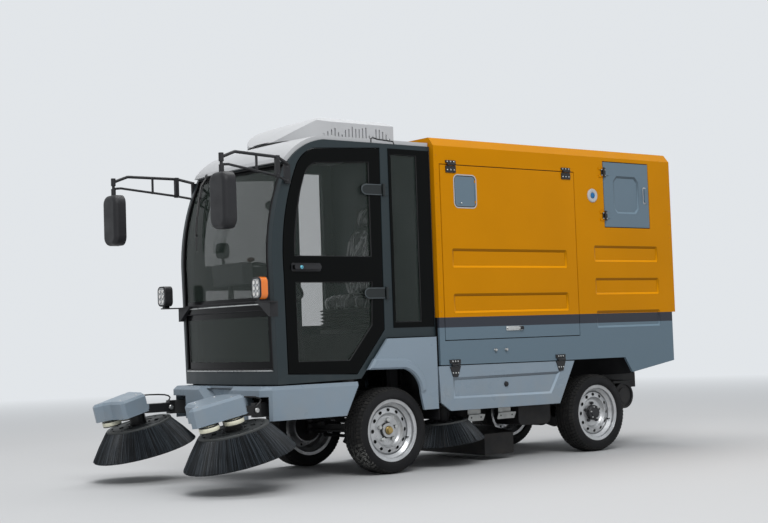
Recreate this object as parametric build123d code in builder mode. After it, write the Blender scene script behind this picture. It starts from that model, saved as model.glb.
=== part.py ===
from build123d import *
from math import asin, cos, degrees, radians, sin
import os

os.makedirs("parts", exist_ok=True)

# Small four-wheel street sweeper with a closed cab and a box body.
# All lengths are in millimetres. X points forward, Y to the left and Z up.
# Stations along the length are measured from the front axle, and the datum planes
# below carry them into the model frame, whose origin lies on the ground under the
# middle of the overall length.

# Wheels and axles
wheelbase = 1956
wheel_centre_y = 482
tyre_radius = 288
tyre_width = 195
bead_radius = 190
flange_radius = 208
rim_width = 165
rim_wall = 5
spindle_radius = 30
bearing_clearance = 0.05
drum_radius = 118
kingpin_y = 392
kingpin_boss_radius = 27
kingpin_boss_height = 60
seat_gap = 0.3
ear_thickness = 22

# Front brushes
brush_x = 1256
brush_y = 609
brush_z = 374
brush_plate_radius = 219
brush_tip_radius = 346
brush_drop = 173
brush_pitch = 13.6

# Middle brushes
middle_brush_x = -600
middle_brush_y = 372
middle_brush_z = 300
middle_brush_scale = 0.8
middle_brush_pitch = 6

# Cab
cab_half_width = 575
cab_wall = 40
cab_rear = -394
front_bulge = 45
door_thickness = 35
door_gap = 6
glass_thickness = 6

# Box body
box_half_width = 607
box_front = -404
box_rear = -2838
box_wall = 40
eaves_height = 2215
roof_height = 2275
roof_chamfer = 50
band_top = 1029

# Bumper and lower body
bumper_half_width = 602
bumper_bottom = 411
bumper_top = 626
skin = 20

# Frame
rail_bottom = 440
rail_height = 110
rail_y = 195
rail_width = 60

# Hinges
hinge_stand_off = 12
hinge_radius = 8
hinge_leaf = 6
hinge_barrel = 40
hinge_ear = 16

tip_x = brush_x - brush_drop * sin(radians(brush_pitch))
front_reach = tip_x + brush_tip_radius * cos(radians(brush_pitch))
tail_thickness = 25
rear_reach = tail_thickness + hinge_stand_off + hinge_radius - box_rear
front_axle_x = (rear_reach - front_reach) / 2
axle_height = tyre_radius


# Datum planes: a station is counted from the front axle
def side_at(y):
    """Vertical plane along the vehicle: local x forward, local y up, normal to the right."""
    return Plane(origin=(front_axle_x, y, 0), x_dir=(1, 0, 0), z_dir=(0, -1, 0))


def level(z):
    """Horizontal plane: local x forward, local y to the left."""
    return Plane(origin=(front_axle_x, 0, z), x_dir=(1, 0, 0), z_dir=(0, 0, 1))


def station(x):
    """Plane across the vehicle: local x to the left, local y up, normal forward."""
    return Plane(origin=(front_axle_x + x, 0, 0), x_dir=(0, 1, 0), z_dir=(1, 0, 0))


def finish(part, name):
    """Label a piece and write it."""
    part.label = name
    export_step(part, f"parts/{name}.step")


def block(x0, x1, y0, y1, z0, z1):
    """A square block between stations, sides and heights."""
    with BuildPart() as solid:
        with BuildSketch(level(z0)):
            with Locations(((x0 + x1) / 2, (y0 + y1) / 2)):
                Rectangle(abs(x1 - x0), abs(y1 - y0))
        extrude(amount=z1 - z0)
    return solid.part


def mirrored(part):
    """The same piece for the right side."""
    with BuildPart() as other:
        mirror(part, about=Plane.XZ)
    return other.part


# Hinges: every hinge is drawn on a plane whose local z is the pin line, local x runs
# along the panel towards the moving leaf, and local y points out of the panel


def hinge_plane(x, y, z, moving, outward):
    """The plane of a hinge, from its pin's middle and two directions."""
    pin = Vector(*moving).cross(Vector(*outward))
    return Plane(origin=(front_axle_x + x, y, z), x_dir=moving, z_dir=pin)


def hinge_half(plane, spans, reach):
    """Barrels over the given spans of the pin, each with its leaf on the panel."""
    sense = 1 if reach > 0 else -1
    with BuildPart() as half:
        for low, high in spans:
            with BuildSketch(plane.offset(low)):
                Circle(hinge_radius)
                with Locations((sense * hinge_radius / 2, -hinge_stand_off / 2)):
                    Rectangle(hinge_radius, hinge_stand_off)
                with Locations((reach / 2, hinge_leaf / 2 - hinge_stand_off)):
                    Rectangle(abs(reach), hinge_leaf)
            extrude(amount=high - low)
    return half.part


def moving_half(plane, reach):
    """The barrel and leaf that swing."""
    return hinge_half(plane, [(-hinge_barrel / 2, hinge_barrel / 2)], reach)


def fixed_half(plane, reach):
    """The two ears that stay."""
    near = hinge_barrel / 2 + seat_gap
    far = near + hinge_ear
    return hinge_half(plane, [(near, far), (-far, -near)], -reach)


# Wheels
half_rim = rim_width / 2
tyre_shoulder = 70
tyre_profile = [
    # radius, half width
    (bead_radius, half_rim - 2 * rim_wall),
    (flange_radius, half_rim - rim_wall),
    (bead_radius + 22, tyre_width / 2 - 6),
    (bead_radius + 55, tyre_width / 2),
    (tyre_radius - 20, tyre_width / 2 - 3),
    (tyre_radius - 7, tyre_width / 2 - 12),
    (tyre_radius, tyre_shoulder),
]
hub_radius = 48
hand_hole_circle = 136
hand_hole_radius = 10
hand_hole_count = 12
rim_profile = [
    # radius, distance outwards from the wheel's middle plane
    (flange_radius, half_rim),
    (flange_radius, half_rim - rim_wall),
    (bead_radius, half_rim - 2 * rim_wall),
    (bead_radius, 52),
    (bead_radius - 22, 36),
    (bead_radius - 22, -20),
    (bead_radius, -40),
    (bead_radius, 2 * rim_wall - half_rim),
    (flange_radius, rim_wall - half_rim),
    (flange_radius, -half_rim),
    (bead_radius - rim_wall, -half_rim),
    (bead_radius - rim_wall, -42),
    (bead_radius - 22 - rim_wall, -22),
    (bead_radius - 22 - rim_wall, 12),
    (150, 30),
    (120, 36),
    (104, 20),
    (drum_radius - 26, 12),
    (drum_radius, 4),
    (drum_radius, -58),
    (drum_radius - 10, -58),
    (drum_radius - 10, 0),
    (hub_radius, 0),
    (hub_radius, -40),
    (spindle_radius + bearing_clearance, -40),
    (spindle_radius + bearing_clearance, 42),
    (hub_radius, 42),
    (hub_radius, 20),
    (98, 20),
    (108, 30),
    (118, 45),
    (152, 39),
    (bead_radius - 22 - rim_wall, 24),
    (bead_radius - 22 - rim_wall, 38),
    (bead_radius - rim_wall, 54),
    (bead_radius - rim_wall, half_rim - rim_wall),
]


def wheel_plane(x, y, side):
    """Local x is the wheel's radius and local y points out of the vehicle."""
    return Plane(origin=(front_axle_x + x, y, axle_height), x_dir=(1, 0, 0), z_dir=(0, 0, side))


def wheel_axis(x):
    return Axis((front_axle_x + x, 0, axle_height), (0, 1, 0))


def make_tyre(x, side):
    with BuildPart() as tyre:
        with BuildSketch(wheel_plane(x, side * wheel_centre_y, side)):
            with BuildLine():
                outer = [(r, w) for r, w in tyre_profile]
                inner = [(r, -w) for r, w in reversed(tyre_profile)]
                Polyline(*outer, *inner, close=True)
            make_face()
        revolve(axis=wheel_axis(x))
    return tyre.part


def make_rim(x, side):
    with BuildPart() as rim:
        with BuildSketch(wheel_plane(x, side * wheel_centre_y, side)):
            with BuildLine():
                Polyline(*rim_profile, close=True)
            make_face()
        revolve(axis=wheel_axis(x))
        face = Plane(
            origin=(front_axle_x + x, side * (wheel_centre_y + half_rim), axle_height),
            x_dir=(1, 0, 0),
            z_dir=(0, -side, 0),
        )
        with BuildSketch(face):
            with PolarLocations(hand_hole_circle, hand_hole_count):
                Circle(hand_hole_radius)
        extrude(amount=rim_width / 2 - 10, mode=Mode.SUBTRACT)
    return rim.part


wheels = [
    # name, station, side
    ("front_left", 0, 1),
    ("front_right", 0, -1),
    ("rear_left", -wheelbase, 1),
    ("rear_right", -wheelbase, -1),
]
for wheel_name, wheel_x, wheel_side in wheels:
    finish(make_tyre(wheel_x, wheel_side), f"tyre_{wheel_name}")
    finish(make_rim(wheel_x, wheel_side), f"rim_{wheel_name}")


# Knuckles: a yoke round the axle's kingpin boss, a spindle and a steering arm
arm_reach = 120
arm_drop = 14
spindle_end = wheel_centre_y + 44
yoke_back = kingpin_y + kingpin_boss_radius + 4
yoke_plate = 14
ear_radius = 26
ear_low = axle_height - kingpin_boss_height / 2 - seat_gap
ear_high = axle_height + kingpin_boss_height / 2 + seat_gap
arm_y = kingpin_y - 14
tie_pin_radius = 9

with BuildPart() as knuckle_left:
    for low in (ear_low - ear_thickness, ear_high):
        with BuildSketch(level(low)):
            with Locations((0, kingpin_y)):
                Circle(ear_radius)
            with Locations((0, (kingpin_y + yoke_back + yoke_plate) / 2)):
                Rectangle(2 * ear_radius, yoke_back + yoke_plate - kingpin_y)
        extrude(amount=ear_thickness)
    with BuildSketch(side_at(yoke_back + yoke_plate)):
        with Locations((0, axle_height)):
            Circle(drum_radius - 14)
    extrude(amount=yoke_plate)
    with BuildSketch(side_at(spindle_end)):
        with Locations((0, axle_height)):
            Circle(spindle_radius)
    extrude(amount=spindle_end - yoke_back)
    with BuildSketch(level(ear_low - ear_thickness)):
        with BuildLine():
            Polyline(
                (0, kingpin_y + 20), (0, kingpin_y - 24), (-arm_reach, arm_y - 12),
                (-arm_reach - 14, arm_y), (-arm_reach, arm_y + 12), close=True,
            )
        make_face()
    extrude(amount=arm_drop)
finish(knuckle_left.part, "knuckle_left")
finish(mirrored(knuckle_left.part), "knuckle_right")

# Tie rod: runs under both steering arms, with a ball stud at each end
tie_rod_radius = 12
stud_height = 16
tie_rod_z = ear_low - ear_thickness - seat_gap - stud_height
with BuildPart() as tie_rod:
    with BuildSketch(side_at(arm_y)):
        with Locations((-arm_reach, tie_rod_z)):
            Circle(tie_rod_radius)
    extrude(amount=2 * arm_y)
    with BuildSketch(level(tie_rod_z - 12)):
        for side in (1, -1):
            with Locations((-arm_reach, side * arm_y)):
                Circle(17)
    extrude(amount=24)
    with BuildSketch(level(tie_rod_z)):
        for side in (1, -1):
            with Locations((-arm_reach, side * arm_y)):
                Circle(tie_pin_radius)
    extrude(amount=stud_height)
finish(tie_rod.part, "tie_rod")


# Axles with their leaf springs, which hang under the frame's rails
spring_reach = 380
spring_width = 50
spring_leaf = 9
spring_eye_radius = 18
spring_eye_z = rail_bottom - 22
leaf_table = [
    # half length, number from the top
    (spring_reach, 0),
    (300, 1),
    (220, 2),
    (140, 3),
]
saddle_height = 12


def spring_camber(x, axle_top):
    """Height of the main leaf's lower face at a distance from the axle."""
    stack = (len(leaf_table) - 1) * spring_leaf
    rise = spring_eye_z - spring_leaf / 2 - axle_top - saddle_height - stack
    return spring_eye_z - spring_leaf / 2 - rise * (1 - (x / spring_reach) ** 2)


def make_springs(x, axle_top):
    with BuildPart() as springs:
        for side in (1, -1):
            plane = side_at(side * rail_y + spring_width / 2)
            for half_length, number in leaf_table:
                low = spring_camber(0, axle_top) - number * spring_leaf
                end = spring_camber(half_length, axle_top) - number * spring_leaf
                with BuildSketch(plane):
                    with BuildLine():
                        ThreePointArc((x - half_length, end), (x, low), (x + half_length, end))
                        Line((x + half_length, end), (x + half_length, end + spring_leaf))
                        ThreePointArc(
                            (x + half_length, end + spring_leaf),
                            (x, low + spring_leaf),
                            (x - half_length, end + spring_leaf),
                        )
                        Line((x - half_length, end + spring_leaf), (x - half_length, end))
                    make_face()
                extrude(amount=spring_width)
            with BuildSketch(plane):
                for end_x in (x - spring_reach, x + spring_reach):
                    with Locations((end_x, spring_eye_z)):
                        Circle(spring_eye_radius)
                    with Locations((end_x, (spring_eye_z + rail_bottom) / 2)):
                        Rectangle(2 * spring_eye_radius, rail_bottom - spring_eye_z)
            extrude(amount=spring_width)
            with BuildSketch(level(axle_top - saddle_height)):
                with Locations((x, side * rail_y)):
                    Rectangle(90, spring_width + 30)
            extrude(amount=2 * saddle_height + (len(leaf_table) + 1) * spring_leaf)
    return springs.part


beam_height = 56
beam_width = 50
beam_web = 16
beam_flange = 14
with BuildPart() as front_axle:
    with BuildSketch(side_at(kingpin_y)):
        with Locations((0, axle_height)):
            Rectangle(beam_web, beam_height)
        for sense in (1, -1):
            with Locations((0, axle_height + sense * (beam_height - beam_flange) / 2)):
                Rectangle(beam_width, beam_flange)
    extrude(amount=2 * kingpin_y)
    with BuildSketch(level(axle_height - kingpin_boss_height / 2)):
        for side in (1, -1):
            with Locations((0, side * kingpin_y)):
                Circle(kingpin_boss_radius)
    extrude(amount=kingpin_boss_height)
    add(make_springs(0, axle_height + beam_height / 2))
finish(front_axle.part, "front_axle")

axle_tube_radius = 42
differential_radius = 118
motor_radius = 105
motor_length = 330
with BuildPart() as rear_axle:
    with BuildSketch(side_at(wheel_centre_y - 86)):
        with Locations((-wheelbase, axle_height)):
            Circle(axle_tube_radius)
    extrude(amount=2 * (wheel_centre_y - 86))
    with BuildSketch(side_at(spindle_end)):
        with Locations((-wheelbase, axle_height)):
            Circle(spindle_radius)
    extrude(amount=2 * spindle_end)
    with BuildSketch(side_at(110)):
        with Locations((-wheelbase, axle_height)):
            Circle(differential_radius)
    extrude(amount=130, taper=12)
    with BuildSketch(side_at(160)):
        with Locations((-wheelbase + 190, axle_height + 10)):
            Circle(motor_radius)
    extrude(amount=motor_length)
    for side in (1, -1):
        with BuildSketch(side_at(side * (wheel_centre_y - 70) + (8 if side > 0 else 0))):
            with Locations((-wheelbase, axle_height)):
                Circle(drum_radius - 14)
        extrude(amount=8)
    add(make_springs(-wheelbase, axle_height + axle_tube_radius))
finish(rear_axle.part, "rear_axle")

# Chassis frame: two rails, cross members and a tow eye at the rear
rail_front = 860
rail_rear = -2760
cross_members = [820, 420, -470, -1240, -2700]
cross_width = 70
tow_plate = 16
tow_bore_radius = 15
tow_reach = 60
with BuildPart() as chassis_frame:
    for side in (1, -1):
        add(block(rail_rear, rail_front, side * rail_y - rail_width / 2,
                  side * rail_y + rail_width / 2, rail_bottom, rail_bottom + rail_height))
    for cross_x in cross_members:
        add(block(cross_x - cross_width / 2, cross_x + cross_width / 2, -rail_y, rail_y,
                  rail_bottom + 15, rail_bottom + rail_height - 15))
    with BuildSketch(level(rail_bottom + 40)):
        with BuildLine():
            Polyline(
                (rail_rear + 30, -70), (rail_rear, -70), (rail_rear - 40, -34),
                (rail_rear - 40, 34), (rail_rear, 70), (rail_rear + 30, 70), close=True,
            )
        make_face()
        with Locations((rail_rear - 40, 0)):
            Circle(34)
        with Locations((rail_rear - 40, 0)):
            Circle(tow_bore_radius, mode=Mode.SUBTRACT)
    extrude(amount=tow_plate)
finish(chassis_frame.part, "chassis_frame")

# Battery pack, one closed block between the axles on top of the rails
battery = block(-1560, -1200, -220, 220, rail_bottom + rail_height, 914)
finish(battery, "battery_pack")

# Cab volume: the side profile turned about a far upright axis gives the bulged front
plan_radius = (cab_half_width**2 + front_bulge**2) / (2 * front_bulge)
front_x = 918
turn_x = front_x + front_bulge - plan_radius
turn_angle = 2 * degrees(asin(cab_half_width / (cab_rear - turn_x))) + 4
cab_bottom_front = 634
cab_top = 2207


def cab_profile():
    """Outline of the cab's side, open at the wheel."""
    b = front_bulge
    Polyline((-500 + b, cab_top), (-500 + b, 905), (42 + b, 905), (262 + b, 643),
             (870 + b, cab_bottom_front), (902 + b, cab_bottom_front), (920 + b, 1440))
    ThreePointArc((920 + b, 1440), (875 + b, 1780), (767 + b, 2062))
    ThreePointArc((767 + b, 2062), (665 + b, 2149), (501 + b, cab_top))
    Line((501 + b, cab_top), (-500 + b, cab_top))


def cab_volume(inset):
    """The cab's closed volume, drawn in from its outer skin by the inset."""
    base = side_at(0)
    turn_axis = Axis((front_axle_x + turn_x, 0, 0), (0, 0, 1))
    with BuildPart() as volume:
        with BuildSketch(base.rotated((0, 0, 0))) as profile:
            with BuildLine():
                cab_profile()
            make_face()
            if inset:
                offset(amount=-inset, kind=Kind.INTERSECTION)
        revolve(axis=turn_axis, revolution_arc=turn_angle / 2)
        mirror(about=Plane.XZ)
        half = cab_half_width - inset
        with BuildSketch(level(0)):
            with BuildLine():
                Polyline((cab_rear + inset, -half), (1200, -half), (1200, half),
                         (cab_rear + inset, half), close=True)
            make_face()
        extrude(amount=3000, mode=Mode.INTERSECT)
    return volume.part


# Door outline, shared by the door and its aperture
def door_outline():
    Line((820, 700), (831, 1344))
    ThreePointArc((831, 1344), (803, 1740), (710, 2031))
    ThreePointArc((710, 2031), (648, 2105), (567, 2142))
    Polyline((567, 2142), (42, 2171), (49, 959), (283, 678), (820, 700))


window_rear_low = 1005
window_rear_high = 2140
window_rear_front = -52
window_rear_back = -275
screen_half_width = 535
screen_low = 1162
screen_high = 2040
lower_glass_low = 730
lower_glass_high = 1106
inner_half = cab_half_width - cab_wall
door_pin_x = 22
door_pin_y = cab_half_width + hinge_stand_off
door_hinges = [1892, 1202]
cab_foot_x = 860

cab_shell = cab_volume(0) - cab_volume(cab_wall)

with BuildPart() as cab_frame:
    add(cab_shell)
    # The floor between the side walls is a piece of its own
    with BuildSketch(side_at(inner_half)):
        with BuildLine():
            Polyline((cab_rear + cab_wall, 800), (cab_rear + cab_wall, 945 + seat_gap),
                     (60, 945 + seat_gap), (287, 700), (880, 700), (880, 500), (200, 500),
                     close=True)
        make_face()
    extrude(amount=2 * inner_half, mode=Mode.SUBTRACT)
    with BuildSketch(side_at(cab_half_width + 100)):
        with BuildLine():
            door_outline()
        make_face()
        offset(amount=door_gap, kind=Kind.INTERSECTION)
        with Locations(((window_rear_front + window_rear_back) / 2,
                        (window_rear_low + window_rear_high) / 2)):
            Rectangle(window_rear_front - window_rear_back, window_rear_high - window_rear_low)
    extrude(amount=2 * cab_half_width + 200, mode=Mode.SUBTRACT)
    with BuildSketch(station(600)):
        with Locations((0, (screen_low + screen_high) / 2)):
            Rectangle(2 * screen_half_width, screen_high - screen_low)
        with Locations((0, (lower_glass_low + lower_glass_high) / 2)):
            Rectangle(2 * screen_half_width, lower_glass_high - lower_glass_low)
    extrude(amount=500, mode=Mode.SUBTRACT)
    # The roof skin is a piece of its own
    add(block(cab_rear + cab_wall, 700, -inner_half, inner_half, cab_top - cab_wall - 5, cab_top + 5),
        mode=Mode.SUBTRACT)
    for hinge_z in door_hinges:
        ear = fixed_half(hinge_plane(door_pin_x, door_pin_y, hinge_z, (1, 0, 0), (0, 1, 0)), 40)
        add(ear)
        add(mirrored(ear))
    # Feet on the rails
    for side in (1, -1):
        add(block(cab_foot_x - 20, cab_foot_x + 20, side * rail_y - 25, side * rail_y + 25,
                  rail_bottom + rail_height, cab_bottom_front + 2))
finish(cab_frame.part, "cab_frame")

with BuildPart() as cab_floor:
    with BuildSketch(side_at(inner_half - seat_gap)):
        with BuildLine():
            Polyline((cab_rear + cab_wall + seat_gap, 930), (cab_rear + cab_wall + seat_gap, 945),
                     (62, 945), (296, 665), (870, 665), (870, 650), (288, 650), (54, 930),
                     close=True)
        make_face()
    extrude(amount=2 * (inner_half - seat_gap))
    # Legs carry the floor on the rails
    for leg_x in (500, 780):
        for side in (1, -1):
            add(block(leg_x - 30, leg_x + 30, side * rail_y - 25, side * rail_y + 25,
                      rail_bottom + rail_height, 652))
    for side in (1, -1):
        add(block(-330, -270, side * rail_y - 25, side * rail_y + 25, rail_bottom + rail_height, 932))
finish(cab_floor.part, "cab_floor")

# Roof cap, and the air conditioner's housing on it
roof_cap = 28
cap_half_width = 560
header = 2052
cap_shell = cab_volume(-roof_cap) - cab_volume(0)
with BuildPart() as cab_roof:
    add(cap_shell)
    add(block(cab_rear, 1100, -cap_half_width, cap_half_width, header, 2400), mode=Mode.INTERSECT)
finish(cab_roof.part, "cab_roof")

hump_rear = -225
hump_nose = 610
hump_half = 400
hump_side_top = 2360
hump_crown = 2440
slot_heights = [11, 14, 27, 41, 54, 66, 38, 25, 58, 65, 84, 70, 69, 78, 84, 31, 29, 78, 77, 65, 47, 20]
slot_width = 9
slot_depth = 14
slot_first = 415
slot_last = -190
slot_base = cab_top + roof_cap + 18
cap_level = cab_top + roof_cap


def air_slots():
    """Row of upright slots on a side plane, in groups of rising and falling height."""
    pitch = (slot_last - slot_first) / (len(slot_heights) - 1)
    for number, slot_height in enumerate(slot_heights):
        with Locations((slot_first + number * pitch, slot_base + slot_height / 2)):
            Rectangle(slot_width, slot_height)


with BuildPart() as air_conditioner:
    with BuildSketch(side_at(hump_half)):
        with BuildLine():
            Line((hump_nose, cap_level), (hump_rear, cap_level))
            Line((hump_rear, cap_level), (hump_rear, hump_crown - 20))
            ThreePointArc((hump_rear, hump_crown - 20), (230, hump_crown - 12), (hump_nose, cap_level))
        make_face()
    extrude(amount=2 * hump_half)
    with BuildSketch(level(cap_level)):
        with BuildLine():
            Polyline((300, -hump_half), (hump_rear, -hump_half), (hump_rear, hump_half), (300, hump_half))
            ThreePointArc((300, hump_half), (480, 330), (hump_nose, 0))
            ThreePointArc((hump_nose, 0), (480, -330), (300, -hump_half))
        make_face()
    extrude(amount=400, mode=Mode.INTERSECT)
    with BuildSketch(station(hump_rear)):
        with BuildLine():
            Polyline((hump_half, hump_side_top), (hump_half, cap_level), (-hump_half, cap_level),
                     (-hump_half, hump_side_top))
            ThreePointArc((-hump_half, hump_side_top), (0, hump_crown), (hump_half, hump_side_top))
        make_face()
    extrude(amount=hump_nose - hump_rear, mode=Mode.INTERSECT)
    for depth_plane in (hump_half, slot_depth - hump_half):
        with BuildSketch(side_at(depth_plane)):
            air_slots()
        extrude(amount=slot_depth, mode=Mode.SUBTRACT)
finish(air_conditioner.part, "air_conditioner")

# Glass: windscreen, lower front pane and the two rear side panes
glass_shell = cab_volume(12) - cab_volume(12 + glass_thickness)
with BuildPart() as cab_glass:
    add(glass_shell)
    edge = screen_half_width - seat_gap
    with BuildSketch(station(600)):
        with Locations((0, (screen_low + screen_high) / 2)):
            Rectangle(2 * edge, screen_high - screen_low - 2 * seat_gap)
        with Locations((0, (lower_glass_low + lower_glass_high) / 2)):
            Rectangle(2 * edge, lower_glass_high - lower_glass_low - 2 * seat_gap)
    extrude(amount=500, mode=Mode.INTERSECT)
    for side in (1, -1):
        outer = side * (cab_half_width - 8) + (0 if side > 0 else glass_thickness)
        with BuildSketch(side_at(outer)):
            with Locations(((window_rear_front + window_rear_back) / 2,
                            (window_rear_low + window_rear_high) / 2)):
                Rectangle(window_rear_front - window_rear_back - 2 * seat_gap,
                          window_rear_high - window_rear_low - 2 * seat_gap)
        extrude(amount=glass_thickness)
finish(cab_glass.part, "cab_glass")

# Cab doors, hung at their rear edge
door_outer = cab_half_width
door_leaf_reach = 186
handle_low = 1352
handle_high = 1394


def upper_pane():
    Polyline((132, 1443), (132, 2078), (560, 2054))
    ThreePointArc((560, 2054), (610, 2033), (650, 1985))
    ThreePointArc((650, 1985), (727, 1740), (749, 1443))
    Line((749, 1443), (132, 1443))


def lower_pane():
    Polyline((749, 1280), (132, 1280), (144, 990), (337, 763), (742, 770), (749, 1280))


with BuildPart() as cab_door_left:
    with BuildSketch(side_at(door_outer)):
        with BuildLine():
            door_outline()
        make_face()
        with BuildLine():
            upper_pane()
        make_face(mode=Mode.SUBTRACT)
        with BuildLine():
            lower_pane()
        make_face(mode=Mode.SUBTRACT)
    extrude(amount=door_thickness)
    # Handle: a bar on two posts over the middle rail
    with BuildSketch(side_at(door_outer + 26)):
        with Locations((662, (handle_low + handle_high) / 2)):
            Rectangle(214, 26)
    extrude(amount=10)
    with BuildSketch(side_at(door_outer + 20)):
        with Locations((575, (handle_low + handle_high) / 2), (749, (handle_low + handle_high) / 2)):
            Rectangle(32, 24)
    extrude(amount=21)
    for hinge_z in door_hinges:
        add(moving_half(hinge_plane(door_pin_x, door_pin_y, hinge_z, (1, 0, 0), (0, 1, 0)),
                        door_leaf_reach))
finish(cab_door_left.part, "cab_door_left")
finish(mirrored(cab_door_left.part), "cab_door_right")

with BuildPart() as cab_door_glass_left:
    with BuildSketch(side_at(door_outer - 12)):
        with BuildLine():
            upper_pane()
        make_face()
        offset(amount=-seat_gap, kind=Kind.INTERSECTION)
    extrude(amount=glass_thickness)
    with BuildSketch(side_at(door_outer - 12)):
        with BuildLine():
            lower_pane()
        make_face()
        offset(amount=-seat_gap, kind=Kind.INTERSECTION)
    extrude(amount=glass_thickness)
finish(cab_door_glass_left.part, "cab_door_glass_left")
finish(mirrored(cab_door_glass_left.part), "cab_door_glass_right")

# Front bumper: a hollow moulding with the brush arms' cut-outs, run back as a skirt
bumper_front = 1024
cutout_inner = 378
cutout_outer = 584
cutout_top = 562
recess_depth = 60
recess_low = 520
recess_low_half = 100
recess_spread = 1.27
recess_draft = 37
recess_wall = 25
recess_high = bumper_top + 74
recess_high_half = recess_low_half + recess_spread * (recess_high - recess_low)
with BuildPart() as front_bumper:
    with BuildSketch(level(bumper_bottom)):
        with BuildLine():
            Polyline((240, bumper_half_width), (bumper_front - 60, bumper_half_width),
                     (bumper_front, bumper_half_width - 60), (bumper_front, 60 - bumper_half_width),
                     (bumper_front - 60, -bumper_half_width), (240, -bumper_half_width), close=True)
        make_face()
    extrude(amount=bumper_top - bumper_bottom)
    top_edges = front_bumper.faces().sort_by(Axis.Z)[-1].edges()
    outer_edges = top_edges.filter_by(lambda e: e.center().X > front_axle_x + 242)
    chamfer(outer_edges, 24)
    with BuildSketch(level(bumper_bottom - 10)):
        with BuildLine():
            inner = bumper_half_width - skin
            Polyline((200, inner), (bumper_front - 60, inner),
                     (bumper_front - skin, inner - 50), (bumper_front - skin, 50 - inner),
                     (bumper_front - 60, -inner), (200, -inner), close=True)
        make_face()
    extrude(amount=bumper_top - bumper_bottom - skin + 10, mode=Mode.SUBTRACT)
    # Under the cab the top skin stops at the cab's front and sides
    add(block(200, 900, -560, 560, bumper_top - 40, bumper_top + 10), mode=Mode.SUBTRACT)
    # The rear end slants forward and down at the wheel
    with BuildSketch(side_at(bumper_half_width + 10)):
        with BuildLine():
            Polyline((200, 640), (276, 640), (399, bumper_bottom - 5), (200, bumper_bottom - 5),
                     close=True)
        make_face()
    extrude(amount=2 * bumper_half_width + 20, mode=Mode.SUBTRACT)
    for side in (1, -1):
        add(block(bumper_front - 100, bumper_front + 20, side * cutout_inner, side * cutout_outer,
                  bumper_bottom - 5, cutout_top), mode=Mode.SUBTRACT)
    # A recess with sloping walls in the middle of the front, open at its top
    add(block(bumper_front - recess_depth - recess_wall, bumper_front - skin + 1,
              -recess_high_half, recess_high_half, recess_low - recess_wall, bumper_top - skin + 1))
    with BuildSketch(station(bumper_front)):
        with BuildLine():
            Polyline((-recess_low_half, recess_low), (recess_low_half, recess_low),
                     (recess_high_half, recess_high), (-recess_high_half, recess_high), close=True)
        make_face()
    extrude(amount=-recess_depth, taper=recess_draft, mode=Mode.SUBTRACT)
    # Two stays from the rails
    for side in (1, -1):
        add(block(rail_front, bumper_front - skin + 1, side * rail_y - 25, side * rail_y + 25,
                  rail_bottom + 20, rail_bottom + rail_height - 20))
finish(front_bumper.part, "front_bumper")

# Front fender panels: between the wheel's arch and the lower body
fender_outer = 605
flare_reach = 14
flare_draft = 40
with BuildPart() as fender_flare:
    with BuildSketch(side_at(fender_outer)) as flare_face:
        with BuildLine():
            Polyline((-268, 540), (-226, 522))
            ThreePointArc((-226, 522), (-180, 640), (-90, 693))
            Polyline((-90, 693), (214, 699), (160, 770), (-100, 760))
            ThreePointArc((-100, 760), (-215, 690), (-268, 540))
        make_face()
    extrude(amount=skin)
    # The outer part is bevelled all round
    extrude(flare_face.sketch, amount=-flare_reach, taper=flare_draft)
with BuildPart() as front_fenders:
    for side in (1, -1):
        outer = fender_outer if side > 0 else skin - fender_outer
        with BuildSketch(side_at(outer)):
            with BuildLine():
                Polyline((-376, 900), (-376, 411), (-251, 411), (-226, 522))
                ThreePointArc((-226, 522), (-180, 640), (-90, 693))
                Polyline((-90, 693), (212, 699), (44, 899), (-376, 900))
            make_face()
        extrude(amount=skin)
    # A flared lip stands out over the wheel
    add(fender_flare.part)
    mirror(fender_flare.part, about=Plane.XZ)
    # Inner arch carried by the frame
    for side in (1, -1):
        add(block(-376, -352, side * (rail_y + rail_width / 2 + 0.2), side * (fender_outer - 1),
                  470, 800))
finish(front_fenders.part, "front_fenders")

# Side door apertures and the doors' own sizes
side_door_front = -458
side_door_rear = -1760
side_door_low = 874
side_door_high = 2085
side_door_thickness = 36
square_front = -2083
square_rear = -2582
square_low = 1687
square_high = 2182
tail_low = 1040
tail_high = 2150
tail_half_width = 540

# Suction duct, which rises through the floor
duct_radius = 88
duct_wall = 4
duct_x = -1070

# Hinge lines of the box's doors and panels
side_hinges = [-553, -1676]
side_leaf_reach = 56
band_table = [
    # low, high
    (1370, 1505),
    (1055, 1192),
]
band_front = -542
band_rear = -1660
press_depth = 8
lid_pin_z = side_door_high + 4
lid_pin_y = box_half_width + hinge_stand_off


def side_hinge_plane(x):
    return hinge_plane(x, lid_pin_y, lid_pin_z, (0, 0, -1), (0, 1, 0))


square_pin_x = square_front + 4
square_hinges = [2100, 1770]


def square_hinge_plane(z):
    return hinge_plane(square_pin_x, box_half_width + hinge_stand_off, z, (-1, 0, 0), (0, 1, 0))


tail_pin_x = box_rear - tail_thickness - hinge_stand_off
tail_pin_z = tail_high + 4
tail_hinges = [-380, 380]


def tail_hinge_plane(y):
    return hinge_plane(tail_pin_x, y, tail_pin_z, (0, 0, -1), (-1, 0, 0))


panel_thickness = 20
panel_pin_z = 702
panel_pin_y = box_half_width + hinge_stand_off
panel_hinges = [-531, -1547]


def panel_hinge_plane(x):
    return hinge_plane(x, panel_pin_y, panel_pin_z, (0, 0, -1), (0, 1, 0))


# Pressed recesses have sloping edges
press_draft = 45
press_corner = 12
rear_press_front = -1949
rear_press_rear = -2660
rear_press_table = [
    # low, high
    (1418, 1543),
    (1170, 1298),
    (921, 1051),
]


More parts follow.
